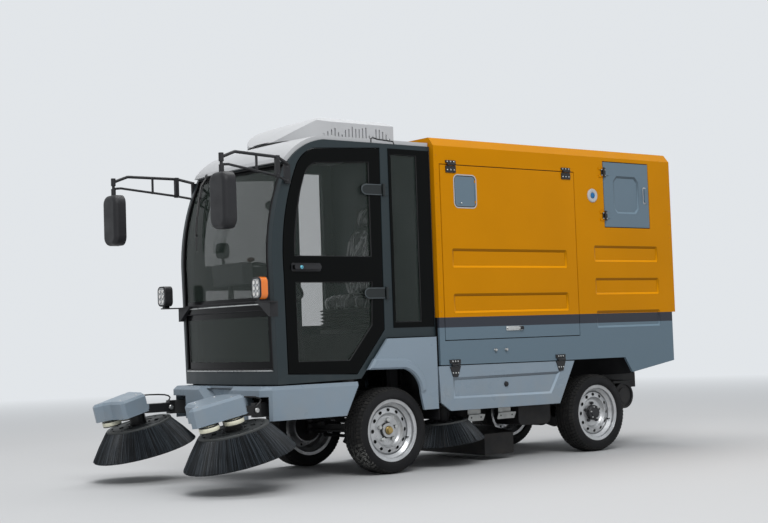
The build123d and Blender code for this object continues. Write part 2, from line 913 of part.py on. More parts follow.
def press_cut(x_front, x_rear, low, high, corner):
    """The volume that a pressed recess takes from the left side's face."""
    with BuildPart() as recess:
        with BuildSketch(side_at(box_half_width)):
            with BuildLine():
                Polyline((x_front, low + corner), (x_front, high - corner), (x_front - corner, high),
                         (x_rear + corner, high), (x_rear, high - corner), (x_rear, low + corner),
                         (x_rear + corner, low), (x_front - corner, low), close=True)
            make_face()
        extrude(amount=press_depth, taper=press_draft)
    return recess.part


def rear_presses():
    """The rear section's recesses on both sides."""
    with BuildPart() as recesses:
        for low, high in rear_press_table:
            add(press_cut(rear_press_front, rear_press_rear, low, high, press_corner))
        mirror(about=Plane.XZ)
    return recesses.part


# Lower body: skirt walls round the rear arches, and the floor of the box
lower_rear = -2800
arch_front = 254 - wheelbase
arch_rear = -wheelbase - 287
with BuildPart() as lower_body:
    with BuildSketch(side_at(box_half_width)):
        with BuildLine():
            Polyline((box_front, band_top), (box_front, 704), (arch_front, 694), (arch_rear, 692),
                     (arch_rear - 76, 576), (lower_rear, 650), (lower_rear, band_top), close=True)
        make_face()
    extrude(amount=2 * box_half_width)
    with BuildSketch(side_at(box_half_width - skin)):
        with BuildLine():
            Polyline((box_front - skin, band_top + 10), (box_front - skin, 600), (arch_front, 500),
                     (lower_rear + skin, 500), (lower_rear + skin, band_top + 10), close=True)
        make_face()
    extrude(amount=2 * (box_half_width - skin), mode=Mode.SUBTRACT)
    # Floor plate and its bearers on the rails
    add(block(box_front - skin - 1, lower_rear + skin + 1, skin - box_half_width - 1,
              box_half_width - skin + 1, 915, 927))
    for cross_x in (-520, -1000, -1600, -2200, -2680):
        for side in (1, -1):
            add(block(cross_x - 30, cross_x + 30, side * rail_y - 25, side * rail_y + 25,
                      rail_bottom + rail_height, 916))
    with BuildSketch(level(900)):
        with Locations((duct_x, 0)):
            Circle(duct_radius + seat_gap)
    extrude(amount=40, mode=Mode.SUBTRACT)
    # The side doors reach below the band, and the rear section's lowest recess crosses it
    g = door_gap
    for side in (1, -1):
        add(block(side_door_rear - g, side_door_front + g,
                  side * (box_half_width - side_door_thickness - g), side * (box_half_width + 10),
                  side_door_low - g, band_top + 10), mode=Mode.SUBTRACT)
    add(rear_presses(), mode=Mode.SUBTRACT)
    for x in panel_hinges:
        add(fixed_half(panel_hinge_plane(x), 36))
        add(mirrored(fixed_half(panel_hinge_plane(x), 36)))
finish(lower_body.part, "lower_body")

with BuildPart() as box_upper:
    with BuildSketch(station(box_rear)):
        with BuildLine():
            slope = roof_height - eaves_height
            Polyline((box_half_width, band_top), (box_half_width, eaves_height),
                     (box_half_width - roof_chamfer, eaves_height + slope),
                     (roof_chamfer - box_half_width, eaves_height + slope),
                     (-box_half_width, eaves_height), (-box_half_width, band_top), close=True)
        make_face()
    extrude(amount=box_front - box_rear)
    with BuildSketch(station(box_rear + box_wall)):
        with BuildLine():
            inner = box_half_width - box_wall
            Polyline((inner, band_top - 10), (inner, eaves_height - 15),
                     (inner - 30, roof_height - box_wall), (30 - inner, roof_height - box_wall),
                     (-inner, eaves_height - 15), (-inner, band_top - 10), close=True)
        make_face()
    extrude(amount=box_front - box_rear - 2 * box_wall, mode=Mode.SUBTRACT)
    g = door_gap
    add(block(side_door_rear - g, side_door_front + g, -box_half_width - 50, box_half_width + 50,
              band_top - 50, side_door_high + g), mode=Mode.SUBTRACT)
    add(block(square_rear - g, square_front + g, 0, box_half_width + 50,
              square_low - g, square_high + g), mode=Mode.SUBTRACT)
    add(block(box_rear - 50, box_rear + box_wall + 10, -tail_half_width + 30, tail_half_width - 30,
              tail_low + 30, tail_high - 30), mode=Mode.SUBTRACT)
    add(rear_presses(), mode=Mode.SUBTRACT)
    for x in side_hinges:
        add(fixed_half(side_hinge_plane(x), side_leaf_reach / 2))
        add(mirrored(fixed_half(side_hinge_plane(x), side_leaf_reach / 2)))
    for z in square_hinges:
        add(fixed_half(square_hinge_plane(z), 50))
    for y in tail_hinges:
        # The ears stand on blocks as thick as the door
        add(fixed_half(tail_hinge_plane(y), 40))
        add(block(box_rear - tail_thickness, box_rear, y - 50, y + 50, tail_high + 6, tail_high + 44))
finish(box_upper.part, "box_upper")


# Hatch lid in the left side door, flush in a seat and hung at its rear edge
hatch_front = -590
hatch_rear = -775
hatch_low = 1800
hatch_high = 2010
hatch_corner = 26
hatch_gap = 5
hatch_lid_thickness = 5
hatch_pin_out = 1
hatch_barrel = 5
hatch_knuckle_low = 1842
hatch_knuckle_high = 1968
hatch_knuckle = 18
hatch_door_knuckles = [
    # low and high end of each knuckle on the door
    (hatch_knuckle_low - seat_gap - hatch_knuckle, hatch_knuckle_low - seat_gap),
    (hatch_knuckle_high + seat_gap, hatch_knuckle_high + seat_gap + hatch_knuckle),
]


def hatch_outline(grow):
    """Rounded outline of the lid, grown by a margin."""
    with Locations(((hatch_front + hatch_rear) / 2, (hatch_low + hatch_high) / 2)):
        RectangleRounded(hatch_front - hatch_rear + 2 * grow, hatch_high - hatch_low + 2 * grow,
                         hatch_corner + grow)


def hatch_knuckle_at(low, high):
    """One knuckle of the hatch's hinge, round its upright pin line."""
    with BuildPart() as knuckle:
        with BuildSketch(level(low)):
            with Locations((hatch_rear, box_half_width + hatch_pin_out)):
                Circle(hatch_barrel)
        extrude(amount=high - low)
    return knuckle.part


with BuildPart() as hatch_lid:
    with BuildSketch(side_at(box_half_width)):
        hatch_outline(0)
    extrude(amount=hatch_lid_thickness)
    # Finger latch near the lower front corner
    with BuildSketch(side_at(box_half_width + 3)):
        with Locations((hatch_front - 45, hatch_low + 22)):
            SlotOverall(26, 12)
    extrude(amount=4)
    add(hatch_knuckle_at(hatch_knuckle_low, hatch_knuckle_high))
    # Notches clear the door's knuckles
    for low, high in hatch_door_knuckles:
        add(block(hatch_rear - 1, hatch_rear + hatch_barrel + 0.5, box_half_width - hatch_lid_thickness - 1,
                  box_half_width + 1, low - seat_gap, high + seat_gap), mode=Mode.SUBTRACT)
finish(hatch_lid.part, "hatch_lid")


# Side doors of the box, hung at their top edge, with two pressed recesses
def make_side_door():
    with BuildPart() as door:
        add(block(side_door_rear, side_door_front, box_half_width - side_door_thickness,
                  box_half_width, side_door_low, side_door_high))
        for low, high in band_table:
            add(press_cut(band_front, band_rear, low, high, press_corner), mode=Mode.SUBTRACT)
        for x in side_hinges:
            add(moving_half(side_hinge_plane(x), side_leaf_reach))
    return door.part


with BuildPart() as side_door_left:
    add(make_side_door())
    with BuildSketch(side_at(box_half_width)):
        hatch_outline(hatch_gap)
    extrude(amount=hatch_lid_thickness + seat_gap, mode=Mode.SUBTRACT)
    for low, high in hatch_door_knuckles:
        add(hatch_knuckle_at(low, high))
        add(block(hatch_rear - hatch_gap - 3, hatch_rear - seat_gap, box_half_width - hatch_lid_thickness - 1,
                  box_half_width + hatch_pin_out, low, high))
finish(side_door_left.part, "side_door_left")
finish(mirrored(make_side_door()), "side_door_right")

# Square service door near the rear, hung at its front edge
with BuildPart() as service_door:
    add(block(square_rear, square_front, box_half_width - side_door_thickness, box_half_width,
              square_low, square_high))
    add(press_cut(-2188, -2472, 1790, 2080, 40), mode=Mode.SUBTRACT)
    # Pull handle near the rear edge
    add(block(-2548, -2522, box_half_width - 1, box_half_width + 18, 1885, 1990))
    for z in square_hinges:
        add(moving_half(square_hinge_plane(z), 60))
finish(service_door.part, "service_door")

# Tail door over the rear opening, hung at its top edge
with BuildPart() as tail_door:
    add(block(box_rear - tail_thickness, box_rear - seat_gap, -tail_half_width, tail_half_width,
              tail_low, tail_high))
    for y in tail_hinges:
        add(moving_half(tail_hinge_plane(y), 70))
finish(tail_door.part, "tail_door")

# Tool panels under the lower body, hung at their top edge, and the boxes behind them
with BuildPart() as tool_panel_left:
    with BuildSketch(side_at(box_half_width)):
        with BuildLine():
            Polyline((-387, 696), (-1690, 686), (-1525, 384), (-483, 391), (-398, 450), (-387, 696))
        make_face()
    extrude(amount=panel_thickness)
    with BuildSketch(side_at(box_half_width)):
        with BuildLine():
            Polyline((-509, 614), (-1546, 615), (-1444, 457), (-510, 470), (-509, 614))
        make_face()
    extrude(amount=8, mode=Mode.SUBTRACT)
    for x in panel_hinges:
        add(moving_half(panel_hinge_plane(x), 80))
finish(tool_panel_left.part, "tool_panel_left")
finish(mirrored(tool_panel_left.part), "tool_panel_right")

tool_wall = 6
tool_front = -960
tool_rear = -1480
tool_low = 404
tool_high = 680
with BuildPart() as tool_boxes:
    for side in (1, -1):
        inner = rail_y + rail_width / 2 + 0.2
        outer = box_half_width - panel_thickness - 8
        add(block(tool_rear, tool_front, side * inner, side * outer, tool_low, tool_high))
        add(block(tool_rear + tool_wall, tool_front - tool_wall, side * (inner + tool_wall),
                  side * (outer + 5), tool_low + tool_wall, tool_high - tool_wall), mode=Mode.SUBTRACT)
finish(tool_boxes.part, "tool_boxes")

# Under the body: a tank below the tool box, before the rear wheel, and a drum behind it
tank_clearance = 141
tank_length = 320
tank_rear = tyre_radius + tank_clearance - wheelbase
tank_front = tank_rear + tank_length
tank_low = 238
tank_round = 45
tank_outer = 500
drum_z = 393
drum_radius_outer = 100
drum_clearance = 38
drum_x = -wheelbase - tyre_radius - drum_clearance - drum_radius_outer
drum_outer = 450
drum_width = 120
drum_flange = 14
with BuildPart() as underbody_units:
    tank_inner = rail_y + rail_width / 2 + 18
    add(block(tank_rear, tank_front, tank_inner, tank_outer, tank_low, tool_low - seat_gap))
    fillet(underbody_units.edges().filter_by(Axis.Y).group_by(Axis.Z)[0], tank_round)
    # Drum with its axis across, on a flange from the rail
    with BuildSketch(side_at(drum_outer)):
        with Locations((drum_x, drum_z)):
            Circle(drum_radius_outer)
    extrude(amount=drum_width)
    with BuildSketch(side_at(drum_outer + 1)):
        with Locations((drum_x, drum_z)):
            Circle(drum_radius_outer - 16)
            Circle(drum_radius_outer - 40, mode=Mode.SUBTRACT)
    extrude(amount=9, mode=Mode.SUBTRACT)
    add(block(drum_x - drum_radius_outer - 20, drum_x + drum_radius_outer + 20,
              rail_y + rail_width / 2, drum_outer + 4, drum_z + drum_radius_outer - 4,
              drum_z + drum_radius_outer + drum_flange))
finish(underbody_units.part, "underbody_units")

# Debris bin in the box, open at its top under the suction duct's mouth
bin_front = -520
bin_rear = -1720
bin_half = 470
bin_low = 960
bin_high = 1850
bin_wall = 10
with BuildPart() as debris_bin:
    add(block(bin_rear, bin_front, -bin_half, bin_half, bin_low, bin_high))
    add(block(bin_rear + bin_wall, bin_front - bin_wall, bin_wall - bin_half, bin_half - bin_wall,
              bin_low + bin_wall, bin_high + 5), mode=Mode.SUBTRACT)
    with BuildSketch(level(bin_low - 5)):
        with Locations((duct_x, 0)):
            Circle(duct_radius - duct_wall)
    extrude(amount=bin_wall + 10, mode=Mode.SUBTRACT)
    for x in (-700, -1540):
        add(block(x - 40, x + 40, -300, 300, 927, bin_low))
finish(debris_bin.part, "debris_bin")
fan = block(-2620, -2100, -430, 430, 927, 1560)
finish(fan, "fan_unit")

# Seat, dashboard and steering
seat_half = 235
with BuildPart() as seat:
    with BuildSketch(side_at(seat_half)):
        with BuildLine():
            Polyline((30, 1165), (10, 1215), (-200, 1190), (-262, 1700), (-320, 1850),
                     (-350, 1840), (-330, 1120), (30, 1100), (30, 1165))
        make_face()
    extrude(amount=2 * seat_half)
finish(seat.part, "seat")
with BuildPart() as seat_base:
    with BuildSketch(level(945 + seat_gap)):
        with Locations((-150, 0)):
            Rectangle(360, 400)
    extrude(amount=1099.7 - 945 - seat_gap)
finish(seat_base.part, "seat_base")

column_foot = (720, 0, 1040)
wheel_hub = (520, 0, 1310)
column_dir = (Vector(*wheel_hub) - Vector(*column_foot)).normalized()
hub_world = Vector(front_axle_x + wheel_hub[0], wheel_hub[1], wheel_hub[2])
steering_plane = Plane(origin=hub_world, x_dir=(0, 1, 0), z_dir=column_dir)
column_radius = 28
column_length = 330
with BuildPart() as dashboard:
    with BuildSketch(side_at(430)):
        with BuildLine():
            Polyline((845, 665.3), (560, 665.3), (600, 900), (620, 1010), (700, 1080), (850, 1095),
                     (845, 665.3))
        make_face()
    extrude(amount=860)
    with BuildSketch(steering_plane.offset(-20)):
        Circle(column_radius)
    extrude(amount=-column_length)
finish(dashboard.part, "dashboard")

wheel_rim_radius = 200
with BuildPart() as steering_wheel:
    with BuildSketch(Plane(origin=hub_world, x_dir=steering_plane.x_dir, z_dir=steering_plane.y_dir)):
        with Locations((wheel_rim_radius, 0)):
            Circle(13)
    revolve(axis=Axis(hub_world, column_dir))
    with BuildSketch(steering_plane.offset(-20 + seat_gap)):
        Circle(36)
    extrude(amount=30)
    with BuildSketch(steering_plane.offset(-8)):
        with Locations((100, 0), (-100, 0)):
            Rectangle(196, 26)
        with Locations((0, 100)):
            Rectangle(26, 196)
    extrude(amount=12)
finish(steering_wheel.part, "steering_wheel")

# Headlamps on shelves at the cab's front corners, each over an upright gusset plate
lamp_z = 1240
lamp_y = 604
lamp_front = 1067
lamp_width = 108
lamp_height = 138
lamp_depth = 62
lamp_corner = 34
lamp_round = 9
lamp_rim = 10
lamp_recess = 5
shelf_top = 1160
shelf_thickness = 8
gusset_front = 948
with BuildPart() as headlamps:
    for side in (1, -1):
        with BuildSketch(station(lamp_front - lamp_depth)):
            with Locations((side * lamp_y, lamp_z)):
                RectangleRounded(lamp_width, lamp_height, lamp_corner)
        housing = extrude(amount=lamp_depth)
        fillet(housing.faces().sort_by(Axis.X)[-1].edges(), lamp_round)
        with BuildSketch(station(lamp_front)):
            with Locations((side * lamp_y, lamp_z)):
                RectangleRounded(lamp_width - 2 * lamp_rim, lamp_height - 2 * lamp_rim,
                                 lamp_corner - lamp_rim)
        extrude(amount=-lamp_recess, mode=Mode.SUBTRACT)
        with BuildSketch(level(shelf_top - shelf_thickness)):
            with BuildLine():
                inboard = side * (screen_half_width + 10)
                outboard = side * (lamp_y + 30)
                Polyline((890, inboard), (1055, side * (lamp_y - 30)), (1055, outboard),
                         (985, outboard), (890, side * (cab_half_width + 1)), close=True)
            make_face()
        extrude(amount=shelf_thickness)
        add(block(1010, 1050, side * (lamp_y - 14), side * (lamp_y + 14), shelf_top - 1,
                  lamp_z - lamp_height / 2 + 3))
        with BuildSketch(station(gusset_front)):
            with BuildLine():
                Polyline((side * 430, shelf_top - 8), (side * 477, 1123), (side * 558, 1066),
                         (side * (cab_half_width + 3), 1063), (side * (cab_half_width + 3), shelf_top),
                         (side * 430, shelf_top), close=True)
            make_face()
        extrude(amount=-60)
    add(cab_volume(-seat_gap), mode=Mode.SUBTRACT)
finish(headlamps.part, "headlamps")

# Mirrors on double tubes from the roof's front corners
mirror_x = 1353
mirror_y = 711
mirror_z = 1767
mirror_tube = 10
mirror_width = 190
mirror_height = 345
mirror_depth = 84
mirror_corner = 62
mirror_round = 30
clamp_x = 903
clamp_y = 640
strut_x = 1075
strut_y = 669
with BuildPart() as mirrors:
    for side in (1, -1):
        ax = front_axle_x
        with BuildLine():
            FilletPolyline((ax + 790, side * 588, 2030), (ax + 900, side * 640, 2062),
                           (ax + 1250, side * 700, 2070), (ax + mirror_x, side * mirror_y, 2030),
                           (ax + mirror_x, side * mirror_y, 1900), radius=30)
        with BuildSketch(Plane(origin=(ax + 790, side * 588, 2030), z_dir=(110, side * 52, 32))):
            Circle(mirror_tube)
        sweep()
        with BuildLine():
            FilletPolyline((ax + 800, side * 588, 1920), (ax + 900, side * 640, 1942),
                           (ax + 1300, side * 705, 1990), (ax + mirror_x, side * mirror_y, 1985),
                           radius=30)
        with BuildSketch(Plane(origin=(ax + 800, side * 588, 1920), z_dir=(100, side * 52, 22))):
            Circle(mirror_tube - 2)
        sweep()
        # Rounded shell with its glass side to the rear
        with BuildSketch(station(mirror_x - mirror_depth / 2)):
            with Locations((side * mirror_y, mirror_z)):
                RectangleRounded(mirror_width, mirror_height, mirror_corner)
        shell = extrude(amount=mirror_depth)
        fillet(shell.faces().sort_by(Axis.X)[-1].edges(), mirror_round)
        # Plate on the cab, and the clamp and the strut that join the tubes
        with BuildSketch(side_at(side * (cab_half_width + seat_gap + 8) + 8)):
            with Locations((793, 1967)):
                Rectangle(44, 124)
        extrude(amount=16)
        add(block(clamp_x - 14, clamp_x + 14, side * (clamp_y - 12), side * (clamp_y + 12), 1932, 2072))
        with BuildSketch(level(1955)):
            with Locations((strut_x, side * strut_y)):
                Circle(mirror_tube - 2)
        extrude(amount=112)
finish(mirrors.part, "mirrors")

with BuildPart() as rear_lamps:
    for side in (1, -1):
        add(block(lower_rear - 30, lower_rear, side * 420, side * 570, 760, 860))
finish(rear_lamps.part, "rear_lamps")

# Front brush gear: a bracket on the frame, an arm that swings, a head that lifts, a brush
swing_x = 880
swing_y = 470
arm_low = 440
arm_high = 530
swing_radius = 32
lift_x = 1070
lift_y = 540
lift_z = 485
lift_radius = 30
lift_half = 25
bracket_ear = 15
tilt = radians(brush_pitch)
brush_up = (sin(tilt), 0, cos(tilt))
brush_plane = Plane(origin=(front_axle_x + brush_x, brush_y, brush_z), x_dir=(cos(tilt), 0, -sin(tilt)),
                    z_dir=brush_up)

with BuildPart() as brush_brackets:
    for side in (1, -1):
        add(block(790, 845, side * (rail_y + rail_width / 2), side * (swing_y + swing_radius),
                  arm_low - bracket_ear, arm_high + bracket_ear))
        for low in (arm_low - seat_gap - bracket_ear, arm_high + seat_gap):
            add(block(840, swing_x, side * (swing_y - swing_radius), side * (swing_y + swing_radius),
                      low, low + bracket_ear))
            with BuildSketch(level(low)):
                with Locations((swing_x, side * swing_y)):
                    Circle(swing_radius)
            extrude(amount=bracket_ear)
finish(brush_brackets.part, "brush_brackets")

with BuildPart() as brush_arm_left:
    with BuildSketch(level(arm_low)):
        with Locations((swing_x, swing_y)):
            Circle(swing_radius)
        with BuildLine():
            Polyline((swing_x + 2, swing_y - 28), (lift_x - 40, lift_y - lift_half),
                     (lift_x, lift_y - lift_half), (lift_x, lift_y + lift_half),
                     (lift_x - 40, lift_y + lift_half), (swing_x - 8, swing_y + 28),
                     (swing_x + 2, swing_y - 28))
        make_face()
    extrude(amount=arm_high - arm_low)
    with BuildSketch(side_at(lift_y + lift_half)):
        with Locations((lift_x, lift_z)):
            Circle(lift_radius)
    extrude(amount=2 * lift_half)
finish(brush_arm_left.part, "brush_arm_left")
finish(mirrored(brush_arm_left.part), "brush_arm_right")

cover_low = 100
cover_high = 218
cover_chamfer = 16
cover_outline = [
    # forward and outward of the brush's axis
    (165, -200),
    (190, -180),
    (200, -60),
    (232, -8),
    (282, 20),
    (272, 58),
    (-36, 134),
    (-58, 112),
    (-52, -70),
    (-10, -168),
]
head_motor_radius = 55
roller_radius = 62
roller_low = 50
roller_thickness = 38
roller_axle_radius = 12
roller_table = [
    # forward and outward of the brush's axis
    (176, 28),
    (22, 66),
]
with BuildPart() as brush_head_left:
    with BuildSketch(brush_plane.offset(cover_low)):
        with BuildLine():
            Polyline(*cover_outline, close=True)
        make_face()
    extrude(amount=cover_high - cover_low)
    chamfer(brush_head_left.faces().sort_by(Axis.Z)[-1].edges(), cover_chamfer)
    for low in (lift_y + lift_half + seat_gap, lift_y - lift_half - seat_gap - bracket_ear):
        with BuildSketch(side_at(low + bracket_ear)):
            with Locations((lift_x, lift_z)):
                Circle(lift_radius)
            with Locations((lift_x + 30, lift_z)):
                Rectangle(60, 2 * lift_radius)
        extrude(amount=bracket_ear)
    # The fork's body runs into the cover
    add(block(lift_x + 40, brush_x, lift_y - lift_half - bracket_ear, lift_y + lift_half + bracket_ear,
              lift_z - lift_radius, lift_z + lift_radius))
    with BuildSketch(brush_plane.offset(8)):
        Circle(head_motor_radius)
    extrude(amount=cover_low - 7)
    for u, v in roller_table:
        with BuildSketch(brush_plane.offset(roller_low)):
            with Locations((u, v)):
                Circle(roller_radius)
        extrude(amount=roller_thickness)
        with BuildSketch(brush_plane.offset(roller_low + roller_thickness - 1)):
            with Locations((u, v)):
                Circle(roller_axle_radius)
        extrude(amount=cover_low - roller_low - roller_thickness + 2)
finish(brush_head_left.part, "brush_head_left")
finish(mirrored(brush_head_left.part), "brush_head_right")


def make_brush(plane, scale):
    """A disc plate with a skirt of bristles that flares to the tip circle."""
    plate = brush_plate_radius * scale
    tip = brush_tip_radius * scale
    drop = brush_drop * scale
    with BuildPart() as brush:
        with BuildSketch(Plane(origin=plane.origin, x_dir=plane.x_dir, z_dir=-plane.y_dir)):
            with BuildLine():
                Polyline((0, 7.7), (plate, 7.7), (plate, -7), (tip, -drop), (tip - 70 * scale, -drop),
                         (plate - 60 * scale, -7), (0, -7), (0, 7.7))
            make_face()
        revolve(axis=Axis(plane.origin, plane.z_dir))
        with BuildSketch(plane.offset(8)):
            with PolarLocations(120 * scale, 6, start_angle=30):
                SlotOverall(70 * scale, 30 * scale, rotation=90)
        extrude(amount=-20, mode=Mode.SUBTRACT)
    return brush.part


finish(make_brush(brush_plane, 1), "brush_front_left")
finish(mirrored(make_brush(brush_plane, 1)), "brush_front_right")

middle_tilt = radians(middle_brush_pitch)
middle_plane = Plane(origin=(front_axle_x + middle_brush_x, middle_brush_y, middle_brush_z),
                     x_dir=(cos(middle_tilt), 0, -sin(middle_tilt)),
                     z_dir=(sin(middle_tilt), 0, cos(middle_tilt)))
finish(make_brush(middle_plane, middle_brush_scale), "brush_middle_left")
finish(mirrored(make_brush(middle_plane, middle_brush_scale)), "brush_middle_right")

with BuildPart() as middle_left:
    with BuildSketch(middle_plane.offset(8)):
        Circle(44)
    extrude(amount=118)
    add(block(middle_brush_x - 60, middle_brush_x + 70, rail_y + rail_width / 2, middle_brush_y + 50,
              rail_bottom - 30, rail_bottom - 16))
    add(block(middle_brush_x - 60, middle_brush_x + 70, rail_y + rail_width / 2,
              rail_y + rail_width / 2 + 14, rail_bottom - 30, rail_bottom + 80))
with BuildPart() as middle_brackets:
    add(middle_left.part)
    mirror(middle_left.part, about=Plane.XZ)
finish(middle_brackets.part, "middle_brush_brackets")

# Suction nozzle with its duct up into the bin
nozzle_front = -960
nozzle_rear = -1240
nozzle_half = 400
nozzle_low = 40
nozzle_high = 230
nozzle_end = 190
with BuildPart() as suction_nozzle:
    with BuildSketch(station(nozzle_rear)):
        with BuildLine():
            Polyline((-nozzle_half, nozzle_low), (nozzle_half, nozzle_low), (nozzle_half, nozzle_end),
                     (130, nozzle_high), (-130, nozzle_high), (-nozzle_half, nozzle_end),
                     (-nozzle_half, nozzle_low))
        make_face()
    extrude(amount=nozzle_front - nozzle_rear)
    with BuildSketch(level(nozzle_high)):
        with Locations((duct_x, 0)):
            Circle(duct_radius)
    extrude(amount=915 - seat_gap - nozzle_high)
    with BuildSketch(station(nozzle_rear + 6)):
        with BuildLine():
            Polyline((6 - nozzle_half, nozzle_low - 1), (nozzle_half - 6, nozzle_low - 1),
                     (nozzle_half - 6, nozzle_end - 6), (128, nozzle_high - 6),
                     (-128, nozzle_high - 6), (6 - nozzle_half, nozzle_end - 6),
                     (6 - nozzle_half, nozzle_low - 1))
        make_face()
    extrude(amount=nozzle_front - nozzle_rear - 12, mode=Mode.SUBTRACT)
    with BuildSketch(level(nozzle_high - 20)):
        with Locations((duct_x, 0)):
            Circle(duct_radius - duct_wall)
    extrude(amount=1000, mode=Mode.SUBTRACT)
finish(suction_nozzle.part, "suction_nozzle")
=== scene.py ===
# Small four-wheel street sweeper: finishes, trim, tread, bristles and cab interior
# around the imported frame. Lengths are in metres. X points forward, Y to the left, Z up.
# Stations along the length are counted from the front axle, as on the drawings.
import random
from math import atan2, cos, hypot, pi, radians, sin

import bmesh
import bpy
from mathutils import Matrix, Vector


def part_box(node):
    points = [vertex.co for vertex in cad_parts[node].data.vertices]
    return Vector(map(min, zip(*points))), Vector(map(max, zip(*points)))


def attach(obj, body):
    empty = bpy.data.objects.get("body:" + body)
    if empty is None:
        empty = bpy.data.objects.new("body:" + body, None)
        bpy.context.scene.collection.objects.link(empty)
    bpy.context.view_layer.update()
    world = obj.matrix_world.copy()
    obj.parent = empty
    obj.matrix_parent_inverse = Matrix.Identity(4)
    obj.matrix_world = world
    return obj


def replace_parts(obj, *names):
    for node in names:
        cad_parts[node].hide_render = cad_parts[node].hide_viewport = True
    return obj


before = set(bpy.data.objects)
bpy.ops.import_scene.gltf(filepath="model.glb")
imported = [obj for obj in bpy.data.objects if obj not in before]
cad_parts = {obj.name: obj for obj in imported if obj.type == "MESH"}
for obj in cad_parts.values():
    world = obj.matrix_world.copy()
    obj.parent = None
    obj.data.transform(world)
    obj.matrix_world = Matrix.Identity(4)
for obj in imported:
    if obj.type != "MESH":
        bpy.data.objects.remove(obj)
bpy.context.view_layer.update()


# Datums read from the frame
def middle(name):
    low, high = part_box(name)
    return (low + high) / 2


front_axle_x, wheel_y, axle_height = middle("tyre_front_left")
wheelbase = front_axle_x - middle("tyre_rear_left").x
cab_half = 0.575
box_half = 0.607
hinge_pin_y = box_half + 0.012
band_low, band_high = 0.959, 1.029
SIDES = (("left", 1), ("right", -1))
X, Y, Z = Vector((1, 0, 0)), Vector((0, 1, 0)), Vector((0, 0, 1))


def at(x, y, z):
    """A point from its station, its distance to the left and its height."""
    return Vector((front_axle_x + x, y, z))


# Materials
class Nodes:
    """A node tree and the calls that build in it."""

    def __init__(self, tree):
        self.tree = tree
        self.coordinate = None

    def feed(self, socket, value):
        """Links a socket to an input, or sets the input's value."""
        if isinstance(value, bpy.types.NodeSocket):
            self.tree.links.new(value, socket)
        else:
            socket.default_value = value

    def node(self, kind, *inputs, **values):
        """Adds a node: values go to its named inputs and settings, inputs to its first sockets."""
        made = self.tree.nodes.new("ShaderNode" + kind)
        for key, value in values.items():
            if key in made.inputs:
                self.feed(made.inputs[key], value)
            else:
                setattr(made, key, value)
        for socket, value in zip(made.inputs, inputs):
            self.feed(socket, value)
        return made

    def point(self, output="Object"):
        """The surface point in the part's own frame, which moves with its body."""
        if self.coordinate is None:
            self.coordinate = self.node("TexCoord")
        return self.coordinate.outputs[output]

    def noise(self, scale, detail=3.0):
        return self.node("TexNoise", self.point(), Scale=scale, Detail=detail).outputs["Fac"]

    def ramp(self, source, low, high, out_low=0.0, out_high=1.0):
        return self.node("MapRange", source, low, high, out_low, out_high).outputs["Result"]

    def math(self, operation, *inputs):
        return self.node("Math", *inputs, operation=operation).outputs[0]

    def vector_math(self, operation, *inputs, output="Value", **values):
        return self.node("VectorMath", *inputs, operation=operation, **values).outputs[output]

    def axis(self, name, source=None):
        return self.node("SeparateXYZ", source or self.point()).outputs[name]

    def mix(self, factor, first, second):
        """Two colours or sockets mixed by a factor."""
        made = self.node("Mix", factor, data_type="RGBA")
        for socket, value in zip(made.inputs[6:8], (first, second)):
            self.feed(socket, value if isinstance(value, bpy.types.NodeSocket) else (*value, 1))
        return made.outputs[2]


finishes = {}
EDGE = 0.0004  # half the width over which one colour goes over into the next


class Finish(Nodes):
    """A material, kept under its name, and what varies it over the surface."""

    def __init__(self, name, colour, roughness, metallic=0.0, coat=0.0, gloss=0.5):
        finishes[name] = self
        self.material = bpy.data.materials.new(name)
        self.material.use_nodes = True
        super().__init__(self.material.node_tree)
        self.shader = self.tree.nodes["Principled BSDF"]
        self.set("Base Color", (*colour, 1))
        self.set("Roughness", roughness)
        self.set("Metallic", metallic)
        self.set("Coat Weight", coat)
        self.set("Coat Roughness", 0.08)
        self.set("Specular IOR Level", gloss)

    def set(self, key, value):
        self.feed(self.shader.inputs[key], value)
        return self

    def clouds(self, first, second, scale, detail=4.0, start=0.35):
        return self.mix(self.ramp(self.noise(scale, detail), start, 0.7), first, second)

    def bump(self, height, strength, distance, edge=0.0, target="Normal"):
        made = self.node("Bump", Height=height, Strength=strength, Distance=distance)
        if edge:
            self.feed(made.inputs["Normal"], self.node("Bevel", Radius=edge, samples=4).outputs["Normal"])
        return self.set(target, made.outputs["Normal"])

    def dress(self, colour, wear, relief, edge=0.0):
        """Colour, wear (scale, least, most roughness) and relief (scale, detail, strength, depth)."""
        self.set("Base Color", colour)
        self.set("Roughness", self.ramp(self.noise(wear[0]), 0.3, 0.7, *wear[1:]))
        return self.bump(self.noise(*relief[:2]), *relief[2:], edge)

    def over(self, factor, colour):
        """Lays a colour over the present one by a factor."""
        present = self.shader.inputs["Base Color"].links[0].from_socket
        return self.set("Base Color", self.mix(factor, present, colour))

    def under(self, source, border, colour, edge=EDGE):
        """Lays a colour over the side where the source is under the border."""
        return self.over(self.ramp(source, border + edge, border - edge), colour)


def toned(colour, factor, lift=0.0):
    return tuple(c * factor + lift for c in colour)


